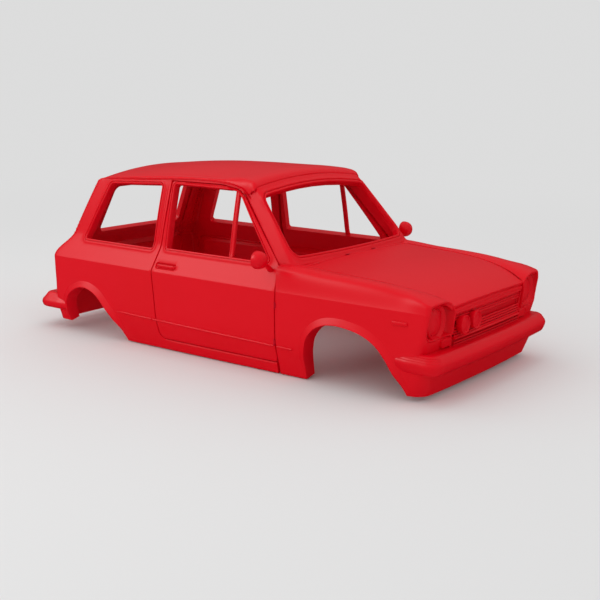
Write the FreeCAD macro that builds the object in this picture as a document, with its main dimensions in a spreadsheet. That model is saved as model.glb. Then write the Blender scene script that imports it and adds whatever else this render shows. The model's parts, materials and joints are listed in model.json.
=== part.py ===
import FreeCAD
import Part
import math
import os

Vec = FreeCAD.Vector
os.makedirs("parts", exist_ok=True)
doc = FreeCAD.newDocument("rally_hatchback_shell")
sheet = doc.addObject("Spreadsheet::Sheet", "sizes")

# Driving dimensions of the shell in millimetres, each with the name used below
SIZES = [
    ("wheelbase", 2043),
    ("front_overhang", 622),
    ("rear_overhang", 495),
    ("nose_reach", 545),
    ("tail_reach", 375),
    ("half_width", 740),
    ("sill_half_width", 695),
    ("roof_half_width", 566),
    ("belt_height", 645),
    ("crease_height", 505),
    ("door_bottom", 70),
    ("header_height", 1047),
    ("roof_height", 1168),
    ("roof_crown", 60),
    ("side_wall", 90),
    ("cabin_wall", 44),
    ("roof_wall", 26),
    ("deck_wall", 24),
    ("end_wall", 55),
    ("tailgate_wall", 40),
    ("shut_gap", 7),
    ("seal_step", 9),
    ("door_skin", 14),
    ("flare_width", 50),
    ("flare_depth", 16),
    ("bumper_bottom", 172),
    ("bumper_top", 284),
    ("bumper_half_width", 750),
    ("headlamp_recess", 52),
    ("headlamp_radius", 92),
    ("headlamp_spread", 590),
    ("headlamp_height", 440),
    ("aux_lamp_radius", 58),
    ("grille_half_width", 434),
    ("grille_bottom", 262),
    ("grille_top", 492),
    ("mirror_radius", 52),
    ("mirror_spread", 836),
    ("hinge_pin_radius", 3),
    ("fixing_bore", 12),
    ("cut_reach", 540),
]
for row, (alias, value) in enumerate(SIZES, start=1):
    sheet.set("A%d" % row, alias)
    sheet.set("B%d" % row, str(value))
    sheet.setAlias("B%d" % row, alias)
doc.recompute()


def size(alias):
    return float(sheet.get(alias))


# Places along the car, x forward from mid-length
nose_end = (size("wheelbase") + size("front_overhang") + size("rear_overhang")) / 2
front_axle = nose_end - size("front_overhang")
rear_axle = front_axle - size("wheelbase")
tail_end = rear_axle - size("rear_overhang")
nose = size("nose_reach")
tail = size("tail_reach")
half_width = size("half_width")
belt = size("belt_height")
crease = size("crease_height")
header = size("header_height")
roof_top = size("roof_height")
gap = size("shut_gap")
FAR = half_width + 200
cut_start = 400


def feature(name, shape):
    obj = doc.addObject("Part::Feature", name)
    obj.Shape = shape
    obj.Placement = FreeCAD.Placement()
    return obj


def fused(name, objs):
    obj = doc.addObject("Part::MultiFuse", name)
    obj.Shapes = objs
    return obj


def shared(name, base, tool):
    obj = doc.addObject("Part::Common", name)
    obj.Base = base
    obj.Tool = tool
    return obj


def less(name, base, tools):
    for count, tool in enumerate(tools):
        last = count == len(tools) - 1
        obj = doc.addObject("Part::Cut", name if last else name + "_cut%d" % count)
        obj.Base = base
        obj.Tool = tool
        base = obj
    return base


def mirrored(name, source):
    obj = doc.addObject("Part::Mirroring", name)
    obj.Source = source
    obj.Base = Vec(0, 0, 0)
    obj.Normal = Vec(0, 1, 0)
    return obj


# Outlines: corner points with a radius each, drawn with lines and arcs
def inset(points, distance):
    count = len(points)
    area = sum(points[i - 1][0] * points[i][1] - points[i][0] * points[i - 1][1] for i in range(count))
    sign = 1 if area > 0 else -1
    moved = []
    for i, (a, b, radius) in enumerate(points):
        before = points[i - 1]
        after = points[(i + 1) % count]
        d1 = Vec(a - before[0], b - before[1], 0).normalize()
        d2 = Vec(after[0] - a, after[1] - b, 0).normalize()
        n1 = Vec(-d1.y, d1.x, 0) * sign
        n2 = Vec(-d2.y, d2.x, 0) * sign
        share = distance / (1 + n1.dot(n2))
        moved.append((a + (n1.x + n2.x) * share, b + (n1.y + n2.y) * share, max(radius - distance, 0)))
    return moved


def outline_edges(points):
    corners = []
    count = len(points)
    for i, (a, b, radius) in enumerate(points):
        corner = Vec(a, b, 0)
        before = Vec(points[i - 1][0], points[i - 1][1], 0) - corner
        after = Vec(points[(i + 1) % count][0], points[(i + 1) % count][1], 0) - corner
        half_turn = before.getAngle(after) / 2
        room = 0.49 * min(before.Length, after.Length)
        reach = min(radius / math.tan(half_turn), room)
        if radius < 0.5 or half_turn > 1.56:
            corners.append((corner, None, corner))
            continue
        real = reach * math.tan(half_turn)
        before.normalize()
        after.normalize()
        middle = (before + after).normalize()
        centre = corner + middle * (real / math.sin(half_turn))
        corners.append((corner + before * reach, centre - middle * real, corner + after * reach))
    edges = []
    for i, (first, mid, last) in enumerate(corners):
        if mid is not None:
            edges.append(Part.Arc(first, mid, last))
        following = corners[(i + 1) % count][0]
        if (following - last).Length > 1e-4:
            edges.append(Part.LineSegment(last, following))
    return edges


def block(name, plane, points, start, stop, length=None):
    """Pad an outline between two distances along its plane's axis, or by a length from the sheet."""
    body = doc.addObject("PartDesign::Body", name)
    sketch = body.newObject("Sketcher::SketchObject", name + "_outline")
    origin = [f for f in body.Origin.OriginFeatures if f.Role == plane + "_Plane"][0]
    sketch.AttachmentSupport = [(origin, "")]
    sketch.MapMode = "FlatFace"
    sign = -1 if plane == "XZ" else 1
    sketch.AttachmentOffset = FreeCAD.Placement(Vec(0, 0, sign * start), FreeCAD.Rotation())
    sketch.addGeometry(outline_edges(points), False)
    pad = body.newObject("PartDesign::Pad", name + "_pad")
    pad.Profile = sketch
    pad.Length = abs(stop - start)
    if length:
        pad.setExpression("Length", length)
    pad.Reversed = (stop - start) * sign < 0
    body.Tip = pad
    return body


def side_block(name, points, side, inner=cut_start):
    """Pad a side-view outline outwards on the right (-1) or left (1) side."""
    return block(name, "XZ", points, side * inner, side * FAR, "sizes.cut_reach")


# Side walls: one section across the car at each station, lofted along it
def bow(x):
    return 14 * (x / 1500.0) ** 2


def low_profile(x, out):
    sill = size("sill_half_width") - bow(x) + out
    side = half_width - bow(x) + out
    return [(sill, 0), (sill + 17, size("door_bottom")), (side - 2, 178), (side + 1, 340),
            (side, crease), (side - 72, belt)]


def cabin_profile(x, out):
    low = half_width - 78 - bow(x) + out
    high = size("roof_half_width") + 6 - bow(x) + out
    lean = (low - high) / (header + 18 - belt)
    return [(low, belt), (low - lean * (header + 70 - belt), header + 70)]


def section_wire(x, side, points):
    return Part.makePolygon([Vec(x, side * y, z) for y, z in points + points[:1]])


def loft(wires, ruled=True):
    shape = Part.makeLoft(wires, True, ruled)
    if shape.Volume < 0:
        shape.reverse()
    return shape


def spread(first, last, count):
    return [first + (last - first) * i / (count - 1) for i in range(count)]


def flank_form(side, first, last, out, low_in, cabin_in):
    """Side wall from the sill to the roof, between two depths from the skin."""
    wires = []
    for x in spread(first, last, 3):
        outer = low_profile(x, out) + cabin_profile(x, out)
        inner = low_profile(x, low_in) + cabin_profile(x, cabin_in)
        wires.append(section_wire(x, side, outer + inner[::-1]))
    return loft(wires)


def low_form(side, first, last, out, low_in):
    """Side wall below the shoulder crease only."""
    wires = []
    for x in spread(first, last, 3):
        outer = low_profile(x, out)[:5]
        inner = low_profile(x, low_in)[:5]
        wires.append(section_wire(x, side, outer + inner[::-1]))
    return loft(wires)


# Front deck: seam between wing and bonnet, and the crown of the wing
DECK = [(-500, 559, 654, 14, 8), (-367, 563, 648, 14, 8), (-178, 575, 634, 13, 8), (22, 571, 624, 13, 10),
        (197, 553, 607, 13, 16), (322, 529, 586, 13, 22), (427, 500, 558, 12, 32), (500, 472, 530, 11, 36),
        (560, 450, 503, 10, 36)]


def deck_at(x):
    """Seam half width, seam height, crown of bonnet and of wing at a station."""
    along = x - front_axle
    for a, b in zip(DECK, DECK[1:]):
        if along <= b[0]:
            break
    share = (along - a[0]) / (b[0] - a[0])
    return [p + (q - p) * share for p, q in zip(a[1:], b[1:])]


def wing_section(x, side):
    seam, height, crown, rise = deck_at(x)
    wall = size("deck_wall")
    shoulder = half_width - bow(x) - 50
    top = height + rise
    outer = low_profile(x, 0)[:5] + [(shoulder, top - 12), (shoulder - 50, top), (seam + 25, height + rise * 0.5),
                                     (seam, height)]
    inner = low_profile(x, -size("side_wall"))[:4]
    inner += [(inner[3][0], crease - 20), (shoulder - 50, top - wall - 10), (seam + 30, height + rise * 0.3 - wall),
              (seam, height - wall)]
    return section_wire(x, side, outer + inner[::-1])


def plan_limit(end, levels, half, corner, curve):
    """Block that ends at the nose (1) or tail (-1) with rounded plan corners."""
    base = front_axle if end > 0 else rear_axle
    back = base - end * 700
    k = corner * (1 - math.sqrt(0.5))
    wires = []
    for height, reach in levels:
        tip = base + end * reach
        edge = tip - end * curve
        side_x = edge - end * corner
        wires.append(Part.Wire([
            Part.makeLine(Vec(back, -half, height), Vec(side_x, -half, height)),
            Part.Arc(Vec(side_x, -half, height), Vec(edge - end * k, -half + k, height),
                     Vec(edge, -half + corner, height)).toShape(),
            Part.Arc(Vec(edge, -half + corner, height), Vec(tip, 0, height),
                     Vec(edge, half - corner, height)).toShape(),
            Part.Arc(Vec(edge, half - corner, height), Vec(edge - end * k, half - k, height),
                     Vec(side_x, half, height)).toShape(),
            Part.makeLine(Vec(side_x, half, height), Vec(back, half, height)),
            Part.makeLine(Vec(back, half, height), Vec(back, -half, height))]))
    return loft(wires, True)


NOSE_LEVELS = [(-20, nose - 75), (178, nose - 45), (340, nose - 22), (crease, nose), (700, nose + 4)]
TAIL_LEVELS = [(-20, tail - 45), (178, tail - 22), (340, tail - 12), (crease, tail), (belt, tail - 112),
               (1300, tail - 112 - 0.444 * (1300 - belt))]
nose_limit = feature("nose_limit", plan_limit(1, NOSE_LEVELS, half_width + 3, 62, 14))
tail_limit = feature("tail_limit", plan_limit(-1, TAIL_LEVELS, half_width + 3, 60, 22))

# Side-view outlines
door_front = front_axle - 480
door_rear = rear_axle + 595
DOOR = [(door_front + 14, size("door_bottom"), 30), (door_front, 360, 200), (door_front, crease, 30),
        (door_front - 20, belt, 25), (door_front - 338, header - 35, 60), (door_front - 403, header + 11, 120),
        (door_front - 538, header + 29, 200), (door_rear + 19, header + 23, 25),
        (door_rear, belt, 0), (door_rear - 17, crease, 150), (door_rear + 42, size("door_bottom"), 60)]
DOOR_GLASS = [(door_front - 102, belt + 10, 25), (door_front - 366, header - 47, 40), (door_front - 408, header - 7, 40),
              (door_front - 458, header, 60), (door_rear + 54, header, 30), (door_rear + 57, belt + 8, 25)]
QUARTER_GLASS = [(rear_axle + 532, belt - 4, 25), (rear_axle + 540, header - 10, 30),
                 (rear_axle + 93, header - 36, 45), (rear_axle - 75, belt - 4, 25)]
GUTTER = [(rear_axle - 40, roof_top - 122), (rear_axle + 418, roof_top - 98), (rear_axle + 673, roof_top - 78),
          (rear_axle + 862, roof_top - 72), (front_axle - 1021, roof_top - 74), (front_axle - 903, roof_top - 88),
          (front_axle - 800, roof_top - 122)]


# Wheel arches as they open, from behind the axle to ahead of it
FRONT_ARCH = [(-276, -60), (-266, 140), (-240, 268), (-180, 335), (-60, 366), (70, 354), (200, 298), (285, 212),
              (345, 105), (380, -60)]
REAR_ARCH = [(-191, -60), (-191, 150), (-172, 248), (-110, 298), (-20, 321), (45, 306), (120, 262), (200, 183),
             (285, 75), (375, -60)]


def arch_outline(axle, points):
    return [(axle + dx, z, 0) for dx, z in points]


def arch_flare(name, side, outline, low):
    """Band round an arch, proud at the opening and sloping to the skin."""
    depth = size("flare_depth")
    wires = []
    for out, grow in ((-50, size("flare_width")), (-8, size("flare_width")), (depth, 6)):
        wires.append(Part.makePolygon([Vec(x, side * (half_width + out), z)
                                       for x, z, r in inset(outline, -grow) + inset(outline, -grow)[:1]]))
    form = feature(name + "_form", loft(wires))
    span = [p[0] for p in outline]
    keep = side_block(name + "_keep", [(min(span) - 100, low, 0), (max(span) + 100, low, 0),
                                       (max(span) + 100, crease, 0), (min(span) - 100, crease, 0)], side)
    return shared(name, form, keep)


FIXING_X = [front_axle - 520, rear_axle + 480]
fixing_half = size("sill_half_width") - 45
parts = {}


def cylinder(name, radius, length, start, axis):
    obj = doc.addObject("Part::Cylinder", name)
    obj.setExpression("Radius", radius)
    obj.Height = length
    obj.Placement = FreeCAD.Placement(start, FreeCAD.Rotation(Vec(0, 0, 1), axis))
    return obj


def cone(name, radius, end_radius, length, start, axis):
    obj = doc.addObject("Part::Cone", name)
    obj.setExpression("Radius1", radius)
    obj.setExpression("Radius2", end_radius)
    obj.Height = length
    obj.Placement = FreeCAD.Placement(start, FreeCAD.Rotation(Vec(0, 0, 1), axis))
    return obj


def box(name, low, high):
    obj = doc.addObject("Part::Box", name)
    obj.Length, obj.Width, obj.Height = [b - a for a, b in zip(low, high)]
    obj.Placement = FreeCAD.Placement(Vec(*low), FreeCAD.Rotation())
    return obj


# Windscreen and tail slopes, lofted across the car
def slope_form(outer, depth, half, bulge):
    """Sheet across the car: outer polyline in x and z, its depth in x, pulled back at the sides."""
    wires = []
    for y in (-half, -half / 2, 0, half / 2, half):
        back = bulge * (y / half) ** 2
        points = [(x - back, z) for x, z in outer] + [(x - back - depth, z) for x, z in outer[::-1]]
        wires.append(Part.makePolygon([Vec(x, y, z) for x, z in points + points[:1]]))
    return loft(wires)


def windscreen_x(z):
    return front_axle - 398 - 0.86 * (z - 700)


def tail_x(z):
    if z < belt:
        return rear_axle - tail + 112 * (z - crease) / (belt - crease)
    return rear_axle - tail + 112 + 0.444 * (z - belt)


bonnet_rear = front_axle - 367
screen_low, screen_high = belt + 5, roof_top - 48
screen_form = feature("windscreen_form", slope_form([(windscreen_x(screen_low), screen_low),
                                                     (windscreen_x(screen_high), screen_high)], size("cabin_wall"), 620, 40))
SCREEN_EDGE = [(-648, screen_low - 5, 0), (648, screen_low - 5, 0), (568, screen_high + 5, 0),
               (-568, screen_high + 5, 0)]
SCREEN_GLASS = [(-615, belt + 56, 45), (615, belt + 56, 45), (545, header + 17, 60), (-545, header + 17, 60)]
screen_edge = block("windscreen_edge", "YZ", SCREEN_EDGE, 0, nose_end)
screen_hole = block("windscreen_hole", "YZ", SCREEN_GLASS, 0, nose_end)
parts["windscreen_frame"] = less("windscreen_frame", shared("windscreen_blank", screen_form, screen_edge),
                                 [screen_hole, box("bonnet_swing", (bonnet_rear, -FAR, belt - 200),
                                                   (nose_end, FAR, header))])

tail_top = header - 5
tail_form = feature("tail_form", slope_form([(tail_x(z), z) for z in (crease + 4, belt, tail_top)],
                                            -size("tailgate_wall"), 700, -32))
TAILGATE = [(-490, crease + 10, 40), (490, crease + 10, 40), (452, header - 22, 50), (-452, header - 22, 50)]
REAR_GLASS = [(-412, belt + 12, 35), (412, belt + 12, 35), (376, header - 70, 45), (-376, header - 70, 45)]
SURROUND = [(-680, crease + 4, 0), (680, crease + 4, 0), (640, belt, 0), (536, header - 39, 0), (455, header - 25, 0),
            (440, tail_top, 0), (-440, tail_top, 0), (-455, header - 25, 0), (-536, header - 39, 0), (-640, belt, 0)]
tailgate_outline = block("tailgate_outline", "YZ", inset(TAILGATE, gap), tail_end, rear_axle + 200)
tailgate_hole = block("tailgate_hole", "YZ", TAILGATE, tail_end, rear_axle + 200)
rear_glass_hole = block("rear_glass_hole", "YZ", REAR_GLASS, tail_end, rear_axle + 200)
surround_outline = block("surround_outline", "YZ", SURROUND, tail_end, rear_axle + 200)
parts["tailgate"] = less("tailgate", shared("tailgate_blank", tail_form, tailgate_outline), [rear_glass_hole])
surround_blank = shared("surround_blank", tail_form, surround_outline)


# Roof skin from gutter to gutter
def gutter_height(x):
    points = [(x0, z0) for x0, z0 in GUTTER]
    for a, b in zip(points, points[1:]):
        if x <= b[0]:
            break
    return a[1] + (b[1] - a[1]) * (x - a[0]) / (b[0] - a[0])


def cabin_half(x, z):
    (low, z0), (high, z1) = cabin_profile(x, 0)
    return low + (high - low) * (z - z0) / (z1 - z0)


ROOF = [(rear_axle - 90, 92), (rear_axle - 25, 73), (rear_axle + 200, 42), (rear_axle + 480, 16),
        (rear_axle + 780, 3), (front_axle - 980, 0), (front_axle - 850, 6), (front_axle - 760, 24),
        (front_axle - 690, 52)]


def roof_low(x):
    """Height of the roof skin's lower edge at a station."""
    for a, b in zip(ROOF, ROOF[1:]):
        if x <= b[0]:
            break
    drop = a[1] + (b[1] - a[1]) * (x - a[0]) / (b[0] - a[0])
    return min(gutter_height(min(max(x, GUTTER[0][0]), GUTTER[-1][0])), roof_top - drop - size("roof_crown") - 8)


def roof_side(x):
    """Height of the same edge between the stations, where it runs straight."""
    for a, b in zip(ROOF, ROOF[1:]):
        if x <= b[0]:
            break
    low, high = roof_low(a[0]), roof_low(b[0])
    return low + (high - low) * (x - a[0]) / (b[0] - a[0]) - 1


def roof_wire(x, drop):
    centre = roof_top - drop
    low = roof_low(x)
    half = cabin_half(x, low)
    wall = size("roof_wall")
    rise = size("roof_crown") * ((half - 48) / 560) ** 2
    top = centre - rise

    outer = [(half, low), (half - 4, low + 0.3 * (top - low)), (half - 20, low + 0.72 * (top - low)), (half - 48, top)]
    outer += [(share * (half - 48), centre - rise * share ** 2) for share in (0.8, 0.55, 0.25)]
    inner = [(half - wall, low), (half - wall - 10, low + 0.5 * (top - wall - low)), (half - 48 - wall / 2, top - wall)]
    inner += [(share * (half - 48), centre - wall - rise * share ** 2) for share in (0.6, 0.25)]
    ring = outer + [(-y, z) for y, z in outer[::-1]] + [(-y, z) for y, z in inner] + inner[::-1]
    return section_wire(x, 1, ring)


roof_form = feature("roof_form", loft([roof_wire(x, drop) for x, drop in ROOF]))
slope_side = [(tail_x(tail_top) + 2, tail_top + 1, 0), (tail_x(tail_top) + 2, roof_top + 50, 0),
              (windscreen_x(roof_top) - 80, roof_top + 50, 0), (windscreen_x(roof_top) - 12, roof_top, 0),
              (windscreen_x(header - 20) - 12, header - 20, 0)]
roof_outline = block("roof_outline", "XZ", slope_side, -FAR, FAR)
door_hole = side_block("door_hole_right", DOOR, -1)
parts["roof_panel"] = less("roof_panel", shared("roof_blank", roof_form, roof_outline),
                           [screen_form, tail_form, door_hole, mirrored("door_hole_left", door_hole)])


# Bonnet, hinged along its rear edge
def bonnet_wire(x, out):
    seam, height, crown, rise = deck_at(x)
    half = seam - out
    wall = size("deck_wall")
    shares = (-1, -0.75, -0.45, -0.15, 0.15, 0.45, 0.75, 1)
    top = [(share * half, height + crown * (1 - share ** 2)) for share in shares]
    return section_wire(x, 1, top + [(y, z - wall) for y, z in top[::-1]])


bonnet_form = feature("bonnet_form", loft([bonnet_wire(x, gap) for x in
                                           spread(bonnet_rear + gap, front_axle + nose + 12, 8)]))
scuttle_form = feature("scuttle_form", loft([bonnet_wire(x, 0) for x in spread(front_axle - 497, bonnet_rear, 4)]))
parts["bonnet"] = shared("bonnet", bonnet_form, nose_limit)
parts["scuttle_panel"] = less("scuttle_panel", scuttle_form, [screen_form])

# Front panel behind the grille, and the rear panel
nose_inner = feature("nose_inner", plan_limit(1, [(z, r - size("end_wall")) for z, r in NOSE_LEVELS],
                                              half_width + 3, 62, 14))
tail_inner = feature("tail_inner", plan_limit(-1, [(z, r - size("end_wall")) for z, r in TAIL_LEVELS],
                                              half_width + 3, 60, 22))
grille_half = size("grille_half_width")
panel_half = grille_half + 14
panel_top = crease - 32
apron_low = size("bumper_bottom") - 6
front_box = box("front_box", (front_axle, -panel_half, apron_low), (nose_end, panel_half, panel_top))
GRILLE = [(8 - grille_half, size("grille_bottom"), 12), (grille_half - 8, size("grille_bottom"), 12),
          (grille_half, size("grille_top") - 28, 12), (-grille_half, size("grille_top") - 28, 12)]
grille_hole = block("grille_hole", "YZ", GRILLE, front_axle, nose_end + 40)
parts["front_panel"] = less("front_panel", shared("front_blank", front_box, nose_limit), [nose_inner, grille_hole])
rear_half = half_width - size("side_wall") + 10
rear_box = box("rear_box", (tail_end, -rear_half, 50), (rear_axle, rear_half, crease + 4))
rear_blank = shared("rear_blank", rear_box, tail_limit)

# Grille: thin bars in two groups, a wide bar, and fine bars below it. Each pair is a slot between bars.
grille_face = front_axle + nose - 34
grille_form = block("grille_form", "YZ", inset(GRILLE, 1), grille_face - 22, grille_face)
GRILLE_SLOTS = [(270, 279), (285, 294), (300, 309), (338, 347), (354, 363), (370, 379), (385, 422), (430, 439), (446, 454)]
bar_gaps = [box("grille_slot_%d" % i, (grille_face - 40, 22 - grille_half, low), (grille_face + 10, grille_half - 22, top))
            for i, (low, top) in enumerate(GRILLE_SLOTS)]
parts["grille"] = less("grille", grille_form, [fused("grille_slots", bar_gaps)])

# Everything down the right side, mirrored further on for the left
word, side = "right", -1
flank = feature("flank_" + word, flank_form(side, tail_end, front_axle - 330, 0, -size("side_wall"),
                                            -size("cabin_wall")))
front_arch = side_block("front_arch_cut_" + word, arch_outline(front_axle, FRONT_ARCH), side)
rear_arch = side_block("rear_arch_cut_" + word, arch_outline(rear_axle, REAR_ARCH), side)
door_skin_cut = side_block("door_skin_outline_" + word, inset(DOOR, gap), side)
door_core_cut = side_block("door_core_outline_" + word, inset(DOOR, gap + size("seal_step")), side)
glass_hole = side_block("door_glass_" + word, DOOR_GLASS, side)
skin_form = feature("door_skin_form_" + word, flank_form(side, door_rear - 60, door_front + 60, 0,
                                                         -size("door_skin"), -size("door_skin")))
core_form = feature("door_core_form_" + word, flank_form(side, door_rear - 60, door_front + 60,
                                                         -size("door_skin"), -size("side_wall"),
                                                         -size("cabin_wall")))
skin = shared("door_skin_" + word, skin_form, door_skin_cut)
core = shared("door_core_" + word, core_form, door_core_cut)
grip = side_block("handle_recess_" + word, [(door_rear + 30, 530, 12), (door_rear + 204, 530, 12),
                  (door_rear + 204, 562, 12), (door_rear + 30, 562, 12)], side, half_width - 9)
parts["door_" + word] = less("door_" + word, fused("door_blank_" + word, [skin, core]), [glass_hole, grip])

# Vent bar that splits the door window
bar_outline = side_block("vent_bar_outline_" + word, [(door_front - 405, belt, 0), (door_front - 370, belt, 0),
                         (door_front - 378, header + 10, 0), (door_front - 405, header + 10, 0)], side)
bar_form = feature("vent_bar_form_" + word, flank_form(side, door_rear, door_front, -8, -30, -30))
bar_in_hole = shared("vent_bar_strip_" + word, bar_form, bar_outline)
parts["vent_bar_" + word] = shared("vent_bar_" + word, bar_in_hole, glass_hole)

# Front pillar from the sill to the roof and along it over the door, with the post that carries the door
pillar_side = [(door_rear + 300, size("door_bottom"), 0), (front_axle - 430, size("door_bottom"), 0),
               (front_axle - 430, belt - 20, 0), (front_axle - 439, belt + 59, 0),
               (front_axle - 722, header - 6, 0)]
pillar_side += [(x, roof_side(x), 0) for x in (front_axle - 760, front_axle - 850, front_axle - 980,
                                               rear_axle + 780, door_rear + 21)]
pillar_outline = side_block("pillar_outline_" + word, pillar_side + [(door_rear + 21, belt, 0)], side)
pillar_blank = shared("pillar_blank_" + word, flank, pillar_outline)
parts["front_pillar_" + word] = less("front_pillar_" + word, pillar_blank,
                                     [door_hole, screen_form, roof_form, scuttle_form])

# Rear quarter: door post, quarter window and the corner to the tail, with the flare of its arch
quarter_side = [(rear_axle - 420, size("door_bottom"), 0), (door_rear + 200, size("door_bottom"), 0),
                (door_rear + 200, belt, 0), (door_rear + 20, belt, 0)]
quarter_side += [(x, roof_side(x), 0) for x in (door_rear + 20, rear_axle + 480, rear_axle + 200,
                                                rear_axle - 25, rear_axle - 90)]
quarter_side += [(tail_x(header - 50) - 8, header - 50, 0), (rear_axle - 420, belt - 80, 0)]
quarter_outline = side_block("quarter_outline_" + word, quarter_side, side)
quarter_hole = side_block("quarter_glass_" + word, QUARTER_GLASS, side)
quarter_blank = shared("quarter_blank_" + word, flank, quarter_outline)
quarter_body = shared("quarter_body_" + word, quarter_blank, tail_limit)
rear_flare = arch_flare("rear_flare_" + word, side, arch_outline(rear_axle, REAR_ARCH), 110)
quarter_full = fused("quarter_full_" + word, [quarter_body, rear_flare])
parts["rear_quarter_" + word] = less("rear_quarter_" + word, quarter_full,
                                     [door_hole, quarter_hole, rear_arch, roof_form])

# Sill between the arches
sill_outline = side_block("sill_outline_" + word, [(rear_axle + 200, -5, 0), (front_axle - 200, -5, 0),
                          (front_axle - 200, size("door_bottom"), 0),
                          (rear_axle + 200, size("door_bottom"), 0)], side)
sill_form = feature("sill_form_" + word, low_form(side, rear_axle, front_axle, 0, -size("side_wall")))
sill_blank = shared("sill_blank_" + word, sill_form, sill_outline)
bores = [cylinder("sill_bore_%s_%d" % (word, i), "sizes.fixing_bore / 2", 100,
                  Vec(x, side * fixing_half, -10), Vec(0, 0, 1)) for i, x in enumerate(FIXING_X)]
parts["sill_" + word] = less("sill_" + word, sill_blank, [front_arch, rear_arch, door_hole] + bores)

# Front wing: side, crown, flare and the hooded recess of the headlamp
wing_wires = [wing_section(x, side) for x in spread(front_axle - 430, front_axle + nose + 15, 8)]
wing_form = feature("wing_form_" + word, loft(wing_wires))
face = block("wing_face_" + word, "YZ",
             [(side * panel_half, apron_low, 0), (side * (half_width - 20), apron_low, 0),
              (side * (half_width - 60), crease + 20, 0), (side * 500, crease + 8, 0),
              (side * panel_half, panel_top, 0)],
             front_axle + nose - size("end_wall") - 20, nose_end + 40)
front_flare = arch_flare("front_flare_" + word, side, arch_outline(front_axle, FRONT_ARCH), 150)
wing_all = shared("wing_all_" + word, fused("wing_blank_" + word, [wing_form, face]), nose_limit)
recess_floor = front_axle + nose - size("headlamp_recess")
recess = block("headlamp_recess_" + word, "YZ",
               [(side * (panel_half + 10), 352, 12), (side * 668, 352, 40), (side * 672, crease - 6, 20),
                (side * 648, crease + 20, 20), (side * (panel_half + 10), panel_top + 6, 12)],
               recess_floor, nose_end + 40)
lamp_hole = cylinder("headlamp_hole_" + word, "sizes.headlamp_radius + 8", cut_start,
                     Vec(front_axle + nose - 300, side * size("headlamp_spread"), size("headlamp_height")),
                     Vec(1, 0, 0))
low_cut = side_block("wing_low_cut_" + word, [(front_axle - 700, -40, 0), (front_axle - 300, -40, 0),
                     (front_axle - 300, 2, 0), (front_axle + 300, 2, 0), (front_axle + 385, 26, 0),
                     (front_axle + 420, apron_low, 0), (nose_end, apron_low, 0),
                     (nose_end, -60, 0), (front_axle - 700, -60, 0)], side, 300)
sill_cut = side_block("wing_sill_cut_" + word, [(front_axle - 500, -40, 0), (front_axle - 200, -40, 0),
                      (front_axle - 200, size("door_bottom"), 0), (front_axle - 500, size("door_bottom"), 0)],
                      side, 300)
parts["front_wing_" + word] = less("front_wing_" + word, fused("wing_flared_" + word, [wing_all, front_flare]),
                                   [front_arch, recess, lamp_hole, low_cut, sill_cut, screen_form, flank])

# Headlamp with a shallow domed face in its bezel
lamp_centre = Vec(recess_floor - 12, side * size("headlamp_spread"), size("headlamp_height"))
bezel_ring = cylinder("bezel_ring_" + word, "sizes.headlamp_radius + 8", 28, lamp_centre, Vec(1, 0, 0))
bezel_bore = cylinder("bezel_bore_" + word, "sizes.headlamp_radius - 8", 40, lamp_centre - Vec(6, 0, 0), Vec(1, 0, 0))
parts["headlamp_bezel_" + word] = less("headlamp_bezel_" + word, bezel_ring, [bezel_bore])
lens = cylinder("lens_disc_" + word, "sizes.headlamp_radius - 8.5", 18, lamp_centre + Vec(2, 0, 0), Vec(1, 0, 0))
dome = cone("lens_dome_" + word, "sizes.headlamp_radius - 8.5", "sizes.headlamp_radius - 50", 12,
            lamp_centre + Vec(20, 0, 0), Vec(1, 0, 0))
parts["headlamp_" + word] = fused("headlamp_" + word, [lens, dome])

# Mirror: bullet shell on a short foot
mirror_at = Vec(front_axle - 551, side * size("mirror_spread"), 697)
shell = [cone("mirror_rim_" + word, "sizes.mirror_radius - 3", "sizes.mirror_radius", 10, mirror_at, Vec(1, 0, 0)),
         cone("mirror_middle_" + word, "sizes.mirror_radius", "sizes.mirror_radius * 0.86", 34,
              mirror_at + Vec(10, 0, 0), Vec(1, 0, 0)),
         cone("mirror_nose_" + word, "sizes.mirror_radius * 0.86", "sizes.mirror_radius * 0.35", 28,
              mirror_at + Vec(44, 0, 0), Vec(1, 0, 0))]
foot = block("mirror_foot_" + word, "XZ", [(mirror_at.x + 4, 604, 10), (mirror_at.x + 50, 610, 10),
             (mirror_at.x + 42, 690, 10), (mirror_at.x + 8, 690, 10)], side * 660, side * (size("mirror_spread") - 20))
parts["mirror_" + word] = less("mirror_" + word, fused("mirror_all_" + word, shell + [foot]), [skin_form, core_form])

# Door handle: a grip across its recess
handle = side_block("handle_" + word, [(door_rear + 40, 539, 6), (door_rear + 194, 539, 6),
                    (door_rear + 194, 553, 6), (door_rear + 40, 553, 6)], side, half_width - 9)
handle_keep = box("handle_keep_" + word, (door_rear, min(side * (half_width - 14), side * (half_width + 3)), 500),
                  (door_rear + 300, max(side * (half_width - 14), side * (half_width + 3)), 600))
parts["door_handle_" + word] = shared("door_handle_" + word, handle, handle_keep)

# Tail lamp, side repeater and front indicator, each seated on the skin
lamp = box("tail_lamp_rear_" + word, (rear_axle - tail - 8, min(side * 470, side * 735), 352),
           (rear_axle - 250, max(side * 470, side * 735), 492))
parts["tail_lamp_" + word] = less("tail_lamp_" + word, lamp, [tail_limit, parts["rear_quarter_" + word]])
repeater_x = front_axle + 354
repeater = block("side_repeater_blank_" + word, "XZ", [(repeater_x - 50, 426, 11), (repeater_x + 50, 426, 11),
                 (repeater_x + 50, 450, 11), (repeater_x - 50, 450, 11)],
                 side * (half_width - 30), side * (half_width - bow(repeater_x) + 8))
parts["side_repeater_" + word] = less("side_repeater_" + word, repeater, [wing_form])
indicator = block("indicator_blank_" + word, "YZ", [(side * (panel_half - 8), 289, 8), (side * 556, 289, 8),
                  (side * 556, 343, 8), (side * (panel_half - 8), 343, 8)],
                  front_axle + nose - 50, front_axle + nose + 2)
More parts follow.
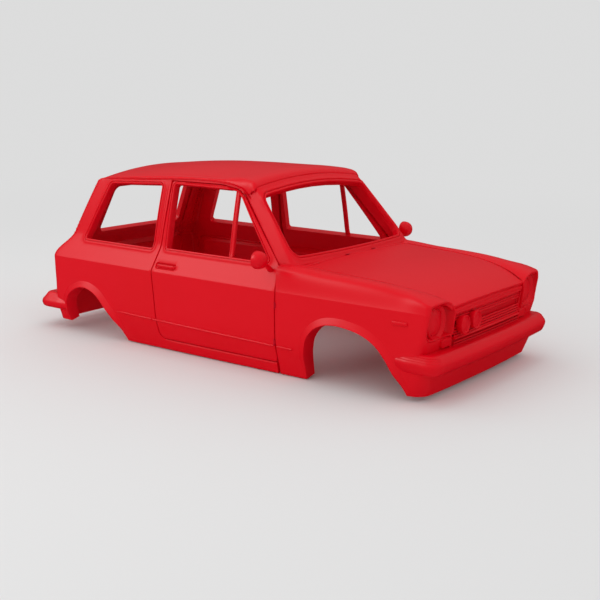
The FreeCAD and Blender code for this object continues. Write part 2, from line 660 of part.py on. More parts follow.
parts["indicator_" + word] = less("indicator_" + word, indicator, [nose_limit])

# Door hinges: a pin on the line where the edge turns, on two tabs from the pillar
pin = "sizes.hinge_pin_radius"
axis_at = Vec(door_front - 1, side * (half_width + 2), 0)
knuckles = []
hinge_room = []
for i, z in enumerate((180, 400)):
    knuckles.append(cylinder("door_pin_%d" % i, pin, 44, axis_at + Vec(0, 0, z), Vec(0, 0, 1)))
    knuckles.append(box("door_tab_%d" % i, (axis_at.x, axis_at.y, z + 8), (door_front + 8, 14 - half_width, z + 36)))
    hinge_room.append(box("door_tab_room_%d" % i, (door_front - 24, -760, z - 4), (door_front + 2, -700, z + 48)))
parts["door_hinges_right"] = less("door_hinges_right", fused("door_hinge_all", knuckles), [parts["front_pillar_right"]])
parts["door_right"] = less("door_hung", parts["door_right"], hinge_room)

for name in [name for name in parts if name.endswith("_right")]:
    parts[name.replace("_right", "_left")] = mirrored(name.replace("_right", "_left"), parts[name])

parts["tailgate_surround"] = less("tailgate_surround", surround_blank,
                                  [tailgate_hole, parts["rear_quarter_right"], parts["rear_quarter_left"], roof_form])
parts["rear_panel"] = less("rear_panel", rear_blank,
                           [tail_inner, parts["rear_quarter_right"], parts["rear_quarter_left"]])


# Bumpers: bent round the corners, with sloping top and bottom faces, seated on the nose and tail
def bumper_form(end, levels, arm, depth):
    base = front_axle if end > 0 else rear_axle
    wires = []
    for height, reach, half in levels:
        tip = base + end * reach
        outer = [(arm, -half), (tip - end * 85, -half), (tip - end * 32, 34 - half), (tip - end * 12, 100 - half),
                 (tip, 330 - half), (tip, half - 330), (tip - end * 12, half - 100), (tip - end * 32, half - 34),
                 (tip - end * 85, half), (arm, half)]
        inner = [(arm, half - depth), (tip - end * 115, half - depth), (tip - end * 115, depth - half),
                 (arm, depth - half)]
        wires.append(Part.makePolygon([Vec(x, y, height) for x, y in outer + inner + outer[:1]]))
    return loft(wires)


bumper_half = size("bumper_half_width")
bumper_low, bumper_top = size("bumper_bottom"), size("bumper_top")
front_reach = size("front_overhang")
rear_reach = size("rear_overhang")
front_bumper_blank = feature("front_bumper_blank", bumper_form(1, [
    (bumper_low, front_reach - 26, bumper_half - 22), (bumper_low + 22, front_reach - 6, bumper_half - 5),
    (bumper_low + 50, front_reach, bumper_half), (bumper_low + 76, front_reach - 2, bumper_half - 1),
    (bumper_top, front_reach - 34, bumper_half - 10)], front_axle + 336, 50))
parts["front_bumper"] = less("front_bumper", front_bumper_blank,
                             [parts["front_wing_right"], parts["front_wing_left"], parts["front_panel"],
                              parts["grille"], parts["indicator_right"], parts["indicator_left"], nose_inner])
rear_bumper_blank = feature("rear_bumper_blank", bumper_form(-1, [
    (bumper_low - 36, rear_reach - 24, bumper_half - 22), (bumper_low - 14, rear_reach - 6, bumper_half - 5),
    (bumper_low + 14, rear_reach, bumper_half), (bumper_low + 40, rear_reach - 2, bumper_half - 1),
    (bumper_top - 40, rear_reach - 34, bumper_half - 10)], rear_axle - 203, 50))
parts["rear_bumper"] = less("rear_bumper", rear_bumper_blank,
                            [parts["rear_quarter_right"], parts["rear_quarter_left"], parts["rear_panel"], tail_inner])


def valance_wire(z, centre, ends, half):
    thick = 24
    outer = [(centre + (ends - centre) * share ** 2, share * half) for share in (-1, -0.66, -0.33, 0, 0.33, 0.66, 1)]
    ring = outer + [(x - thick, y) for x, y in outer[::-1]]
    return Part.makePolygon([Vec(x, y, z) for x, y in ring + ring[:1]])


valance_form = feature("valance_form", loft([
    valance_wire(30, front_axle + 522, front_axle + 396, 668),
    valance_wire(apron_low, front_axle + 535, front_axle + 425, 694)]))
parts["front_valance"] = less("front_valance", valance_form, [parts["front_wing_right"], parts["front_wing_left"]])

# Two auxiliary lamps on the grille, both on the right
for i, y in enumerate((-415, -240)):
    face_x = front_axle + 592
    start = Vec(grille_face, y, 402)
    lamp = cylinder("aux_lamp_blank_%d" % (i + 1), "sizes.aux_lamp_radius", face_x - grille_face, start, Vec(1, 0, 0))
    parts["aux_lamp_%d" % (i + 1)] = less("aux_lamp_%d" % (i + 1), lamp,
                                          [parts["front_panel"], parts["front_wing_right"]])

# Hinges of the lids, on pins like those of the doors
bonnet_axis = Vec(bonnet_rear + gap / 2, 0, belt + 20)
tailgate_axis = Vec(tail_x(header - 25.5) - 2, 0, header - 25.5)


def lid_hinges(lid, axis, tab_back, tab_down, keep_clear, seats):
    """Two pins across the car on tabs from the shell, with room for them in the lid."""
    pieces = []
    room = []
    for i, y in enumerate((-170, 130)):
        pieces.append(cylinder("%s_pin_%d" % (lid, i), pin, 40, axis + Vec(0, y, 0), Vec(0, 1, 0)))
        xs = sorted((axis.x, axis.x + tab_back))
        zs = sorted((axis.z, axis.z + tab_down))
        pieces.append(box("%s_tab_%d" % (lid, i), (xs[0], y + 8, zs[0]), (xs[1], y + 32, zs[1])))
        room.append(box("%s_tab_room_%d" % (lid, i), (axis.x - keep_clear, y - 4, axis.z - keep_clear),
                        (axis.x + keep_clear, y + 44, axis.z + keep_clear)))
    parts[lid + "_hinges"] = less(lid + "_hinges", fused(lid + "_hinge_all", pieces), seats)
    parts[lid] = less(lid + "_hung", parts[lid], room)


lid_hinges("bonnet", bonnet_axis, -gap - 6, -16, 9, [parts["scuttle_panel"], parts["windscreen_frame"]])
lid_hinges("tailgate", tailgate_axis, 14, gap + 6, 9, [parts["tailgate_surround"]])

doc.recompute()
failed = [obj.Name for obj in doc.Objects if "Invalid" in obj.State or "Error" in obj.State]
for name, obj in parts.items():
    obj.Label = name
    if obj.Shape.isNull() or not obj.Shape.isValid() or obj.Shape.Volume < 100:
        failed.append(name)
if failed:
    raise RuntimeError("not built: " + ", ".join(failed))
for name, obj in parts.items():
    shape = obj.Shape
    print(name, len(shape.Solids), "solids", round(shape.Volume / 1e6, 3), "litres")
    shape.exportStep("parts/" + name + ".step")
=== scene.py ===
import json
import math
import bpy
import bmesh
import numpy as np
from mathutils import Matrix, Vector
from mathutils.geometry import delaunay_2d_cdt


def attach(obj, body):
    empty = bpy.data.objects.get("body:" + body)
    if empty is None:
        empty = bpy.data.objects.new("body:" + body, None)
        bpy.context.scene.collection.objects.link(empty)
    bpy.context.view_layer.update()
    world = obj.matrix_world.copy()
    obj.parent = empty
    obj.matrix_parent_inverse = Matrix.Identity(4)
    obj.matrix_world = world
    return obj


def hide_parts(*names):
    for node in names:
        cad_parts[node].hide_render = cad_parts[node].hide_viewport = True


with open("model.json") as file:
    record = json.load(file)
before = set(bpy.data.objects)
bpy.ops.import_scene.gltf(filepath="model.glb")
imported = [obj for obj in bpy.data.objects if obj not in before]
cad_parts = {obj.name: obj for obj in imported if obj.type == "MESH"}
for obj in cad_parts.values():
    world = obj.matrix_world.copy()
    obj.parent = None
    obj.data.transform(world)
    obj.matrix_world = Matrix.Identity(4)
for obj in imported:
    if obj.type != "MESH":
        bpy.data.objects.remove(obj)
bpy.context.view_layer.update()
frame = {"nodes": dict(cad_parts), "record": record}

# everything is drawn in millimetres and brought to metres in finishMesh
frontAxle, rearAxle = 958.0, -1085.0
halfWidth, belt, crease = 740.0, 645.0, 505.0
sides = (("right", -1), ("left", 1))


# Curves


def between(s, a, b, m, n):  # from a to b, with slopes m and n at the two ends
    return ((2 * s**3 - 3 * s**2 + 1) * a + (s**3 - 2 * s**2 + s) * m
            + (3 * s**2 - 2 * s**3) * b + (s**3 - s**2) * n)


def flow(t, marks, values):  # a smooth curve through values at the given marks
    t = np.asarray(t, float)
    marks = np.asarray(marks, float)
    values = np.asarray(values, float)
    if values.ndim == 1:
        values = np.repeat(values[:, None], t.size, 1)
    i = np.clip(np.searchsorted(marks, t, side="right") - 1, 0, len(marks) - 2)
    steps = np.diff(marks)[:, None]
    rises = np.diff(values, axis=0) / steps
    middle = (rises[:-1] * steps[1:] + rises[1:] * steps[:-1]) / (steps[1:] + steps[:-1])
    slopes = np.vstack([rises[:1], middle, rises[-1:]])
    column = np.arange(t.size)
    h = np.diff(marks)[i]
    s = np.clip((t - marks[i]) / h, 0, 1)
    a, b = values[i, column], values[i + 1, column]
    m, n = slopes[i, column] * h, slopes[i + 1, column] * h
    return between(s, a, b, m, n)


def thread(t, knots):  # points along smooth curves, one curve for each column of knots
    knots = np.asarray(knots, float)
    t = np.asarray(t, float)
    steps = np.linalg.norm(np.diff(knots, axis=0), axis=2)
    marks = np.vstack([np.zeros(t.size), np.cumsum(steps, axis=0)])
    at = np.clip(t, 0, 1) * marks[-1]
    rises = np.diff(knots, axis=0) / steps[..., None]
    middle = (rises[:-1] * steps[1:, :, None]
              + rises[1:] * steps[:-1, :, None]) / (steps[1:] + steps[:-1])[..., None]
    slopes = np.concatenate([rises[:1], middle, rises[-1:]])
    i = np.clip((marks <= at).sum(0) - 1, 0, len(knots) - 2)
    column = np.arange(t.size)
    h = steps[i, column]
    s = (at - marks[i, column]) / h
    s, h = s[:, None], h[:, None]
    a, b = knots[i, column], knots[i + 1, column]
    m, n = slopes[i, column] * h, slopes[i + 1, column] * h
    return between(s, a, b, m, n)


def ease(t, start, end):  # a smooth step from 0 to 1
    s = np.clip((np.asarray(t, float) - start) / (end - start), 0, 1)
    return s * s * (3 - 2 * s)


def bow(x):  # the sides come in a little towards both ends
    return 14 * (np.asarray(x, float) / 1500) ** 2


def roundedLoop(corners, step=14, closed=True):  # corner points with a radius each, as one line of points
    count = len(corners)
    line = []
    for i, (a, b, radius) in enumerate(corners):
        corner = np.array([a, b], float)
        before = np.array(corners[i - 1][:2], float) - corner
        after = np.array(corners[(i + 1) % count][:2], float) - corner
        lb, la = np.linalg.norm(before), np.linalg.norm(after)
        before /= lb
        after /= la
        half = math.acos(float(np.clip(before @ after, -1, 1))) / 2
        reach = min(radius / math.tan(half), 0.49 * min(lb, la))
        if radius < 0.5 or half > 1.55:
            line.append(corner)
            continue
        real = reach * math.tan(half)
        middle = (before + after) / np.linalg.norm(before + after)
        centre = corner + middle * real / math.sin(half)
        first, last = corner + before * reach, corner + after * reach
        a0 = math.atan2(*(first - centre)[::-1])
        a1 = math.atan2(*(last - centre)[::-1])
        turn = (a1 - a0 + math.pi) % (2 * math.pi) - math.pi
        pieces = max(3, int(abs(turn) * real / step) + 1, int(abs(turn) / 0.2))
        for k in range(pieces + 1):
            angle = a0 + turn * k / pieces
            line.append(centre + real * np.array([math.cos(angle), math.sin(angle)]))
    return spaced(np.array(line), step, closed)


def boxCorners(x, z, halfLong, halfHigh, radius):  # the corners of an upright box
    return [(x - halfLong, z - halfHigh, radius), (x + halfLong, z - halfHigh, radius),
            (x + halfLong, z + halfHigh, radius), (x - halfLong, z + halfHigh, radius)]


def spaced(line, step, closed=False):  # adds points on the long straight runs
    out = []
    last = len(line) if closed else len(line) - 1
    for i in range(last):
        a, b = line[i], line[(i + 1) % len(line)]
        pieces = max(1, int(np.linalg.norm(b - a) / step + 0.5))
        for k in range(pieces):
            out.append(a + (b - a) * k / pieces)
    if not closed:
        out.append(line[-1])
    return np.array(out)


def curvedLine(points, count):  # a smooth open line through points
    points = np.asarray(points, float)
    along = np.concatenate([[0], np.cumsum(np.linalg.norm(np.diff(points, axis=0), axis=1))])
    t = np.linspace(0, along[-1], count)
    return np.stack([flow(t, along, points[:, k]) for k in range(points.shape[1])], 1)


def turned(loop):  # counterclockwise
    nxt = np.roll(loop, -1, 0)
    area = (loop[:, 0] * nxt[:, 1] - nxt[:, 0] * loop[:, 1]).sum()
    return loop if area > 0 else loop[::-1]


def offset(loop, distance):  # moves a counterclockwise loop to its left
    ahead = np.roll(loop, -1, 0) - loop
    ahead /= np.linalg.norm(ahead, axis=1)[:, None]
    back = np.roll(ahead, 1, 0)
    n1 = np.stack([-ahead[:, 1], ahead[:, 0]], 1)
    n2 = np.stack([-back[:, 1], back[:, 0]], 1)
    share = np.clip(1 + (n1 * n2).sum(1), 0.6, 2)
    return loop + (n1 + n2) * (distance / share)[:, None]


def distanceTo(points, loop):  # from each point to the nearest part of a closed loop
    best = np.full(len(points), 1e9)
    ends = np.roll(loop, -1, 0)
    for start in range(0, len(points), 2000):
        p = points[start:start + 2000, None, :]
        d = (ends - loop)[None]
        t = np.clip(((p - loop[None]) * d).sum(2) / np.maximum((d * d).sum(2), 1e-9), 0, 1)
        gap = p - (loop[None] + d * t[..., None])
        best[start:start + 2000] = np.sqrt((gap * gap).sum(2).min(1))
    return best


def inside(points, loop):
    a, b = loop, np.roll(loop, -1, 0)
    x, y = points[:, 0][:, None], points[:, 1][:, None]
    cross = (a[:, 1][None] > y) != (b[:, 1][None] > y)
    with np.errstate(divide="ignore", invalid="ignore"):
        at = a[:, 0][None] + (y - a[:, 1][None]) * (b[:, 0] - a[:, 0])[None] / (b[:, 1] - a[:, 1])[None]
    return ((cross & (x < at)).sum(1) % 2) == 1


def within(points, loops):  # inside the first loop and outside the others
    ok = inside(points, loops[0])
    for hole in loops[1:]:
        ok &= ~inside(points, hole)
    return ok


# Meshes


sharpAngle = 34  # an edge that turns by more than this many degrees stays sharp


def placePiece(name, mesh, material, body, nodes, sharp):
    mesh.polygons.foreach_set("use_smooth", [True] * len(mesh.polygons))
    mesh.set_sharp_from_angle(angle=math.radians(sharp))
    mesh.materials.append(material)
    piece = bpy.data.objects.new(name, mesh)
    bpy.context.scene.collection.objects.link(piece)
    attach(piece, body)
    if nodes:
        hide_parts(*nodes)
    return piece


def finishMesh(name, points, faces, material, body, nodes=(), sharp=sharpAngle):
    mesh = bpy.data.meshes.new(name)
    mesh.from_pydata([tuple(float(c) * 0.001 for c in p) for p in points], [], [list(f) for f in faces])
    work = bmesh.new()
    work.from_mesh(mesh)
    bmesh.ops.remove_doubles(work, verts=work.verts, dist=2e-5)
    bmesh.ops.dissolve_degenerate(work, edges=work.edges, dist=1e-5)
    bmesh.ops.recalc_face_normals(work, faces=work.faces)
    work.to_mesh(mesh)
    work.free()
    return placePiece(name, mesh, material, body, nodes, sharp)


def even(depth):  # the same depth all over a panel
    return lambda u, v: depth + 0 * u


# A panel is drawn flat, as an outline with holes, then laid on its surface and given its depth.
# Each edge is a list of (distance from the edge, height over the surface).
def makePanel(name, body, loops, edges, us, vs, face, depth, material, nodes=(), lines=(), relief=None,
              sharp=sharpAngle):
    loops = [turned(loops[0])] + [turned(hole) for hole in loops[1:]]
    points, segments = [], []

    def addRun(run, keep, closed):
        numbers = []
        for point, ok in zip(run, keep):
            numbers.append(len(points) if ok else -1)
            if ok:
                points.append(point)
        pairs = list(zip(numbers, numbers[1:])) + ([(numbers[-1], numbers[0])] if closed else [])
        segments.extend((a, b) for a, b in pairs if a >= 0 and b >= 0)

    reach = [edge[-1][0] for edge in edges]
    for number, (loop, edge) in enumerate(zip(loops, edges)):
        addRun(loop, [True] * len(loop), True)
        for distance, _ in edge[1:]:
            ring = offset(loop, distance if number == 0 else -distance)
            ok = within(ring, loops)
            for other, otherLoop in enumerate(loops):
                room = distance * 0.97 if other == number else reach[other] + 2
                ok &= distanceTo(ring, otherLoop) > room
            addRun(ring, ok, True)

    def clear(run, room):
        ok = within(run, loops)
        for other, otherLoop in enumerate(loops):
            ok &= distanceTo(run, otherLoop) > reach[other] + room
        return ok

    for line in lines:
        line = np.asarray(line, float)
        addRun(line, clear(line, 2), False)
    grid = np.array([(u, v) for u in us for v in vs], float)
    ok = clear(grid, 6)
    for line in lines:
        ok &= np.min(np.linalg.norm(grid[:, None] - np.asarray(line, float)[None], axis=2), axis=1) > 5
    points.extend(grid[ok])
    flat, _, triangles, _, _, _ = delaunay_2d_cdt([Vector((float(a), float(b))) for a, b in points],
                                                  segments, [], 0, 1e-3)
    flat = np.array([(p.x, p.y) for p in flat])
    triangles = np.array([t for t in triangles if len(t) == 3])
    triangles = triangles[within(flat[triangles].mean(1), loops)]
    used, triangles = np.unique(triangles, return_inverse=True)
    triangles = triangles.reshape(-1, 3)
    flat = flat[used]
    height = np.zeros(len(flat))
    for loop, edge in zip(loops, edges):
        marks, rises = np.array(edge, float).T
        height += np.interp(distanceTo(flat, loop), marks, rises)
    if relief is not None:
        height += relief(flat[:, 0], flat[:, 1])
    u, v = flat[:, 0], flat[:, 1]
    surface = face(u, v)
    normal = np.cross(face(u + 1, v) - face(u - 1, v), face(u, v + 1) - face(u, v - 1))
    normal /= np.linalg.norm(normal, axis=1)[:, None]
    outward = surface * np.array([0.1, 0.2, 1]) - np.array([0, 0, 250])
    normal *= np.where((normal * outward).sum(1) < 0, -1, 1)[:, None]
    outer = surface + normal * height[:, None]
    inner = surface - normal * depth(u, v)[:, None]
    count = len(flat)
    runs = [(int(t[k]), int(t[k - 2])) for t in triangles for k in range(3)]
    known = set(runs)
    faces = [tuple(t) for t in triangles] + [tuple(t[::-1] + count) for t in triangles]
    faces += [(b, a, a + count, b + count) for a, b in runs if (b, a) not in known]
    return finishMesh(name, np.vstack([outer, inner]), faces, material, body, nodes, sharp)


# A profile of (across, out) pairs carried along a line; out is the direction away from what it sits on
def makeStrip(name, body, path, out, profile, material, nodes=(), closed=False,
              taper=None):
    path = np.asarray(path, float)
    ahead = np.gradient(path, axis=0)
    if closed:
        ahead = np.roll(path, -1, 0) - np.roll(path, 1, 0)
    ahead /= np.linalg.norm(ahead, axis=1)[:, None]
    out = np.broadcast_to(np.asarray(out, float), path.shape)
    out = out - ahead * (out * ahead).sum(1)[:, None]
    out = out / np.linalg.norm(out, axis=1)[:, None]
    across = np.cross(ahead, out)
    profile = np.asarray(profile, float)
    size = np.ones(len(path)) if taper is None else np.asarray(taper, float)
    points = []
    for p, a, o, k in zip(path, across, out, size):
        points.extend(p + a * q[0] * k + o * q[1] * k for q in profile)
    count = len(profile)
    faces = []
    for i in range(len(path) if closed else len(path) - 1):
        j = (i + 1) % len(path)
        for k in range(count):
            m = (k + 1) % count
            faces.append((i * count + k, i * count + m, j * count + m, j * count + k))
    if not closed:
        faces.append(tuple(range(count - 1, -1, -1)))
        faces.append(tuple((len(path) - 1) * count + k for k in range(count)))
    return finishMesh(name, points, faces, material, body, nodes, sharpAngle)


def makeTurned(name, body, profile, centre, axis, material, nodes=(), around=64):
    axis = Vector(axis).normalized()
    turn = axis.to_track_quat("Z", "Y").to_matrix()
    points, faces = [], []
    count = len(profile)
    for i in range(around):
        angle = 2 * math.pi * i / around
        for r, h in profile:
            points.append(Vector(centre) + turn @ Vector((r * math.cos(angle), r * math.sin(angle), h)))
    for i in range(around):
        j = (i + 1) % around
        for k in range(count - 1):
            faces.append((i * count + k, j * count + k, j * count + k + 1, i * count + k + 1))
        faces.append((i * count + count - 1, j * count + count - 1, j * count, i * count))
    return finishMesh(name, points, faces, material, body, nodes, sharpAngle)


# Materials


finishes = {"shellRed": {"colour": (0.72, 0.0, 0.010, 1), "deep": (0.68, 0.0, 0.006, 1), "roughness": 0.40,
                         "peel": 0.05, "coat": 0.05, "grain": 900.0},
            "trimRed": {"colour": (0.70, 0.0, 0.010, 1), "deep": (0.66, 0.0, 0.006, 1), "roughness": 0.34,
                        "peel": 0.03, "coat": 0.1, "grain": 1400.0},
            "hingeRed": {"colour": (0.52, 0.0, 0.012, 1), "deep": (0.44, 0.0, 0.010, 1), "roughness": 0.5,
                         "peel": 0.08, "coat": 0.0, "grain": 700.0}}


def addNode(tree, kind, **sockets):
    node = tree.nodes.new(kind)
    for key, value in sockets.items():
        node.inputs[key].default_value = value
    return node


def satinPaint(name, colour, deep, roughness, peel, coat, grain):
    material = bpy.data.materials.new(name)
    material.use_nodes = True
    tree = material.node_tree
    shader = tree.nodes["Principled BSDF"]
    shader.inputs["Coat Weight"].default_value = coat
    shader.inputs["Coat Roughness"].default_value = 0.3
    shader.inputs["Specular IOR Level"].default_value = 0.12
    where = tree.nodes.new("ShaderNodeTexCoord")
    wide = addNode(tree, "ShaderNodeTexNoise", Scale=2.3, Detail=3.0)
    tree.links.new(where.outputs["Object"], wide.inputs["Vector"])
    tint = tree.nodes.new("ShaderNodeMix")
    tint.data_type = "RGBA"
    tint.inputs["A"].default_value = colour
    tint.inputs["B"].default_value = deep
    tree.links.new(wide.outputs["Fac"], tint.inputs["Factor"])
    tree.links.new(tint.outputs["Result"], shader.inputs["Base Color"])
    fine = addNode(tree, "ShaderNodeTexNoise", Scale=140.0, Detail=2.0)
    tree.links.new(where.outputs["Object"], fine.inputs["Vector"])
    matt = addNode(tree, "ShaderNodeMapRange")
    matt.inputs["To Min"].default_value = roughness - 0.04
    matt.inputs["To Max"].default_value = roughness + 0.05
    tree.links.new(fine.outputs["Fac"], matt.inputs["Value"])
    tree.links.new(matt.outputs["Result"], shader.inputs["Roughness"])
    skin = addNode(tree, "ShaderNodeTexNoise", Scale=grain, Detail=1.0)
    tree.links.new(where.outputs["Object"], skin.inputs["Vector"])
    bump = addNode(tree, "ShaderNodeBump", Strength=peel, Distance=0.0004)
    tree.links.new(skin.outputs["Fac"], bump.inputs["Height"])
    tree.links.new(bump.outputs["Normal"], shader.inputs["Normal"])
    return material


shellRed, trimRed, hingeRed = [satinPaint(name, **finish) for name, finish in finishes.items()]
for part in frame["record"]["subparts"]:
    node = frame["nodes"][part["node"]]
    for place in node.material_slots:
        place.material = {"red_shell": shellRed, "red_trim": trimRed}.get(part["material_slot"], hingeRed)
print("materials ready")


# Body surfaces


def softMax(a, b, k):  # the larger of two, with the corner between them rounded over k
    return np.maximum(a, b) + k * np.log1p(np.exp(-np.abs(a - b) / k))


def sideY(x, z):  # half width of the body
    z = np.asarray(z, float)
    low = flow(np.clip(z, -40, crease), [-40, 0, 70, 178, 340, 505], [-52, -45, -28, -2, 1, 0])
    cabin = -78 - 0.214 * (z - belt) + 5 * np.sin(math.pi * np.clip((z - belt) / 420, 0, 1))
    high = softMax(-0.514 * (z - crease), cabin, 3.0)
    return halfWidth - bow(x) + np.where(z <= crease, low, high)


# how far the corners stand behind the rear axle and ahead of the front one, by height
tailReach = ([-20, 178, 340, 460, 505, 530, 555, 590, 617, 645, 700, 1300],
             [330, 353, 363, 372, 374, 369, 352, 315, 286, 263, 238.6, -28])
noseReach = ([-20, 178, 340, 505, 700], [470, 500, 523, 545, 549])


def tailStart(z):  # where the side starts to turn into the tail
    return rearAxle - flow(np.clip(z, -20, 1300), *tailReach) + 82


tailRound, tailArc, tailBow = 60, 94.25, 22  # radius and length of the rear corner, bow of the rear face


def tailU(z, y):  # how far round the rear corner a half width lies
    start = tailStart(z)
    return start - tailArc - (sideY(start, z) - tailRound - y)


def seamY(z):  # half width of the seam between the tail and the rear quarters
    return 563 - max(z - belt, 0) * 0.127


def tailFace(side):
    def face(u, v):
        start = tailStart(v)
        half = sideY(np.maximum(u, start), v)
        turn = np.clip((start - u) / tailRound, 0, math.pi / 2)
        past = np.clip(start - u - tailArc, 0, None)
        y = half - tailRound + tailRound * np.cos(turn) - past
        x = np.maximum(u, start) - tailRound * np.sin(turn)
        x = x - tailBow * (1 - (y / (half - tailRound)) ** 2) * (past > 0)
        return np.stack([x, side * y, v + 0 * x], 1)
    return face


# bonnet and wing tops: places forward of the front axle, then the values at them
deckMarks = [-500, -367, -178, 22, 197, 322, 427, 500, 560]
deckSeam = [559, 563, 575, 571, 553, 529, 500, 472, 450]
deckHeight = [654, 648, 634, 624, 607, 586, 558, 530, 503]
deckCrown = [14, 14, 13, 13, 13, 13, 12, 11, 10]
deckRise = [8, 8, 8, 10, 16, 22, 32, 36, 36]


def deck(x, row):  # one of the rows above, at places along the car
    return flow(np.asarray(x, float) - frontAxle, deckMarks, row)


def seamAt(x):  # half width of the seam between the bonnet and a wing
    return float(deck(np.array([x]), deckSeam)[0])


panelHalf = 448  # half width of the front panel
noseBow = 14  # how far the middle of the nose stands forward of its corners


def cornerRadius(z):  # the corner to the nose is tight beside the lamp and round below it
    return 62 - 32 * ease(z, 290, 360)


def noseStart(z):  # where the side starts to turn into the nose
    return frontAxle + np.interp(z, *noseReach) - noseBow - cornerRadius(z)


def noseU(z, y):  # how far round the front corner a half width lies
    start, radius = noseStart(z), cornerRadius(z)
    return start + radius * math.pi / 2 + (sideY(start, z) - radius - y)


def wingFace(side):
    def face(u, v):
        low = np.minimum(v, crease)
        start, radius = noseStart(low), cornerRadius(low)
        half = sideY(np.minimum(u, start), low)
        turn = np.clip((u - start) / radius, 0, math.pi / 2)
        past = np.clip(u - start - radius * math.pi / 2, 0, None)
        y = half - radius + radius * np.cos(turn) - past
        x = np.minimum(u, start) + radius * np.sin(turn)
        x = x + noseBow * (1 - (y / (half - radius)) ** 2) * (past > 0)
        t = np.clip((v - crease) / 300, 0, 1)
        seam, height, rise = deck(x, deckSeam), deck(x, deckHeight), deck(x, deckRise)
        top = height + rise
        near = ease(x, frontAxle + 330, frontAxle + 531)
        first, second = 50 - 38 * near, 100 - 52 * near
        drop = 12 - 6 * near
        knots = [np.stack([x, y, 0 * x + crease], 1),
                 np.stack([x, y - first, top - drop], 1),
                 np.stack([x + 3 * near, y - second, top + 0 * x], 1),
                 np.stack([x + 8 * near, seam + 25, height + rise * 0.5], 1),
                 np.stack([x + 8 * near, seam, height], 1)]
        crown = thread(t, knots)
        out = np.where((v > crease)[:, None], crown, np.stack([x, y, v + 0 * x], 1))
        return out * np.array([1, side, 1])
    return face


def bonnetFace(u, v):
    seam, height, crown = deck(u, deckSeam), deck(u, deckHeight), deck(u, deckCrown)
    return np.stack([u, v, height + crown * (1 - (v / seam) ** 2)], 1)


# height of the roof's side edge, and fall of its crown, along the car
roofLine = ([-1180, -1125, -1082, -885, -666, -412, -223, -63, 55, 129, 158, 190],
            [1004, 1030, 1041, 1058, 1071, 1088, 1096, 1092, 1076, 1049, 1022, 985])
roofRun = ([-1185, -1110, -885, -605, -305, -22, 80, 140, 165, 180, 190, 199],
           [93, 69, 38, 12.5, 1, 0, 3, 9, 15.5, 23.5, 32, 43.5])


screenRound, screenArc = 22, 34.6  # radius and length of the corner into the side


def windscreenX(z):  # middle of the screen's surface
    return frontAxle - 398 - 0.86 * (z - 700)


def screenBow(y):  # how far it falls back at a half width
    return 40 * (y / 620) ** 2


roofTop, roofRise, roofHalf, roofFront = 1164, 54, 512, 199
roofCorner = 74.5  # run of the rounded edge, in the roof's own flat drawing


def roofEdge(x):  # height of the roof's side edge
    return flow(x, *roofLine)


def roofEdgeAt(x):
    return float(roofEdge(np.array([x]))[0])


def roofFace(u, v):
    along, drops = roofRun
    centre = roofTop - flow(u, along, drops)
    near = ease(u, 60, 190)  # the corner is tighter and the crown flatter towards the windscreen
    low = np.minimum(np.where(u > 100, np.maximum(roofEdge(u), 1029), roofEdge(u)), centre - 62 + 8 * near)
    half = sideY(u, low) + 1.5
    flat = half - 52 + 20 * near
    bend = np.abs(v) / flat
    rise = roofRise * (flat / roofHalf) ** 2 * (1 - 0.35 * ease(u, -160, 120))
    top = centre - rise
    side = np.sign(v) + (v == 0)
    t = np.clip((np.abs(v) - flat) / 75, 0, 1)
    slope = -2 * rise / flat
    knots = [np.stack([u, flat, top], 1), np.stack([u, flat + 18, top + slope * 18 - 2], 1),
             np.stack([u, half - 10 + 6 * near, low + (0.5 + 0.12 * near) * (top - low)], 1),
             np.stack([u, half, low], 1)]
    edge = thread(t, knots)
    crown = np.stack([u, np.abs(v), centre - rise * bend ** 2], 1)
    out = np.where((np.abs(v) > flat)[:, None], edge, crown)
    lip = 1120.5 - 0.65 * roofRise * (np.minimum(np.abs(out[:, 1]), 553) / roofHalf) ** 2
    bound = windscreenX(lip) - screenBow(out[:, 1]) + 1.5
    out[:, 0] += (bound - roofFront) * ease(u, 90, roofFront)
    out[:, 1] *= side
    return out


def screenCorner(z):  # half width of the screen, out to the end of its corner
    return 562 + (1073 - z) * 0.2466


def screenFace(u, v):
    corner = screenCorner(v) - screenRound
    y = np.minimum(np.abs(u), corner)
    x = windscreenX(v) - screenBow(y)
    turn = np.clip((np.abs(u) - corner) / screenRound, 0, math.pi / 2)
    past = np.clip(np.abs(u) - corner - screenArc, 0, None)
    x = x - screenRound * (1 - np.cos(turn)) - past
    y = y + screenRound * np.sin(turn)
    y = np.where(past > 0, sideY(x, v) + (corner + screenRound - sideY(x + past, v)), y)
    return np.stack([x, np.where(u < 0, -1, 1) * y, v + 0 * x], 1)


def screenU(x, z):  # how far round the screen's corner a point on the side lies
    z = np.asarray(z, float)
    corner = screenCorner(z) - screenRound
    edge = windscreenX(z) - screenBow(corner) - screenRound
    return corner + screenArc + edge - x


print("surfaces ready")

# Outlines of the wheel arches, listed from back to front
frontArch = [(682, 2), (688, 110), (698, 185), (713, 262), (755, 318), (815, 352), (898, 366), (975, 361),
             (1074, 340), (1165, 294), (1232, 228), (1288, 141), (1329, 67), (1352, 26)]
rearArch = [(-1276, 62), (-1276, 150), (-1266, 226), (-1244, 262), (-1205, 292), (-1139, 318), (-1100, 320),
            (-1054, 311), (-985, 277), (-917, 214), (-838, 135), (-780, 45), (-752, 3)]
# lip of the wheel arches, then wall depths of the sides and the wings
flare = {"width": 42, "height": 20}
wallDepth = {"low": 86, "high": 46, "wing": 26}

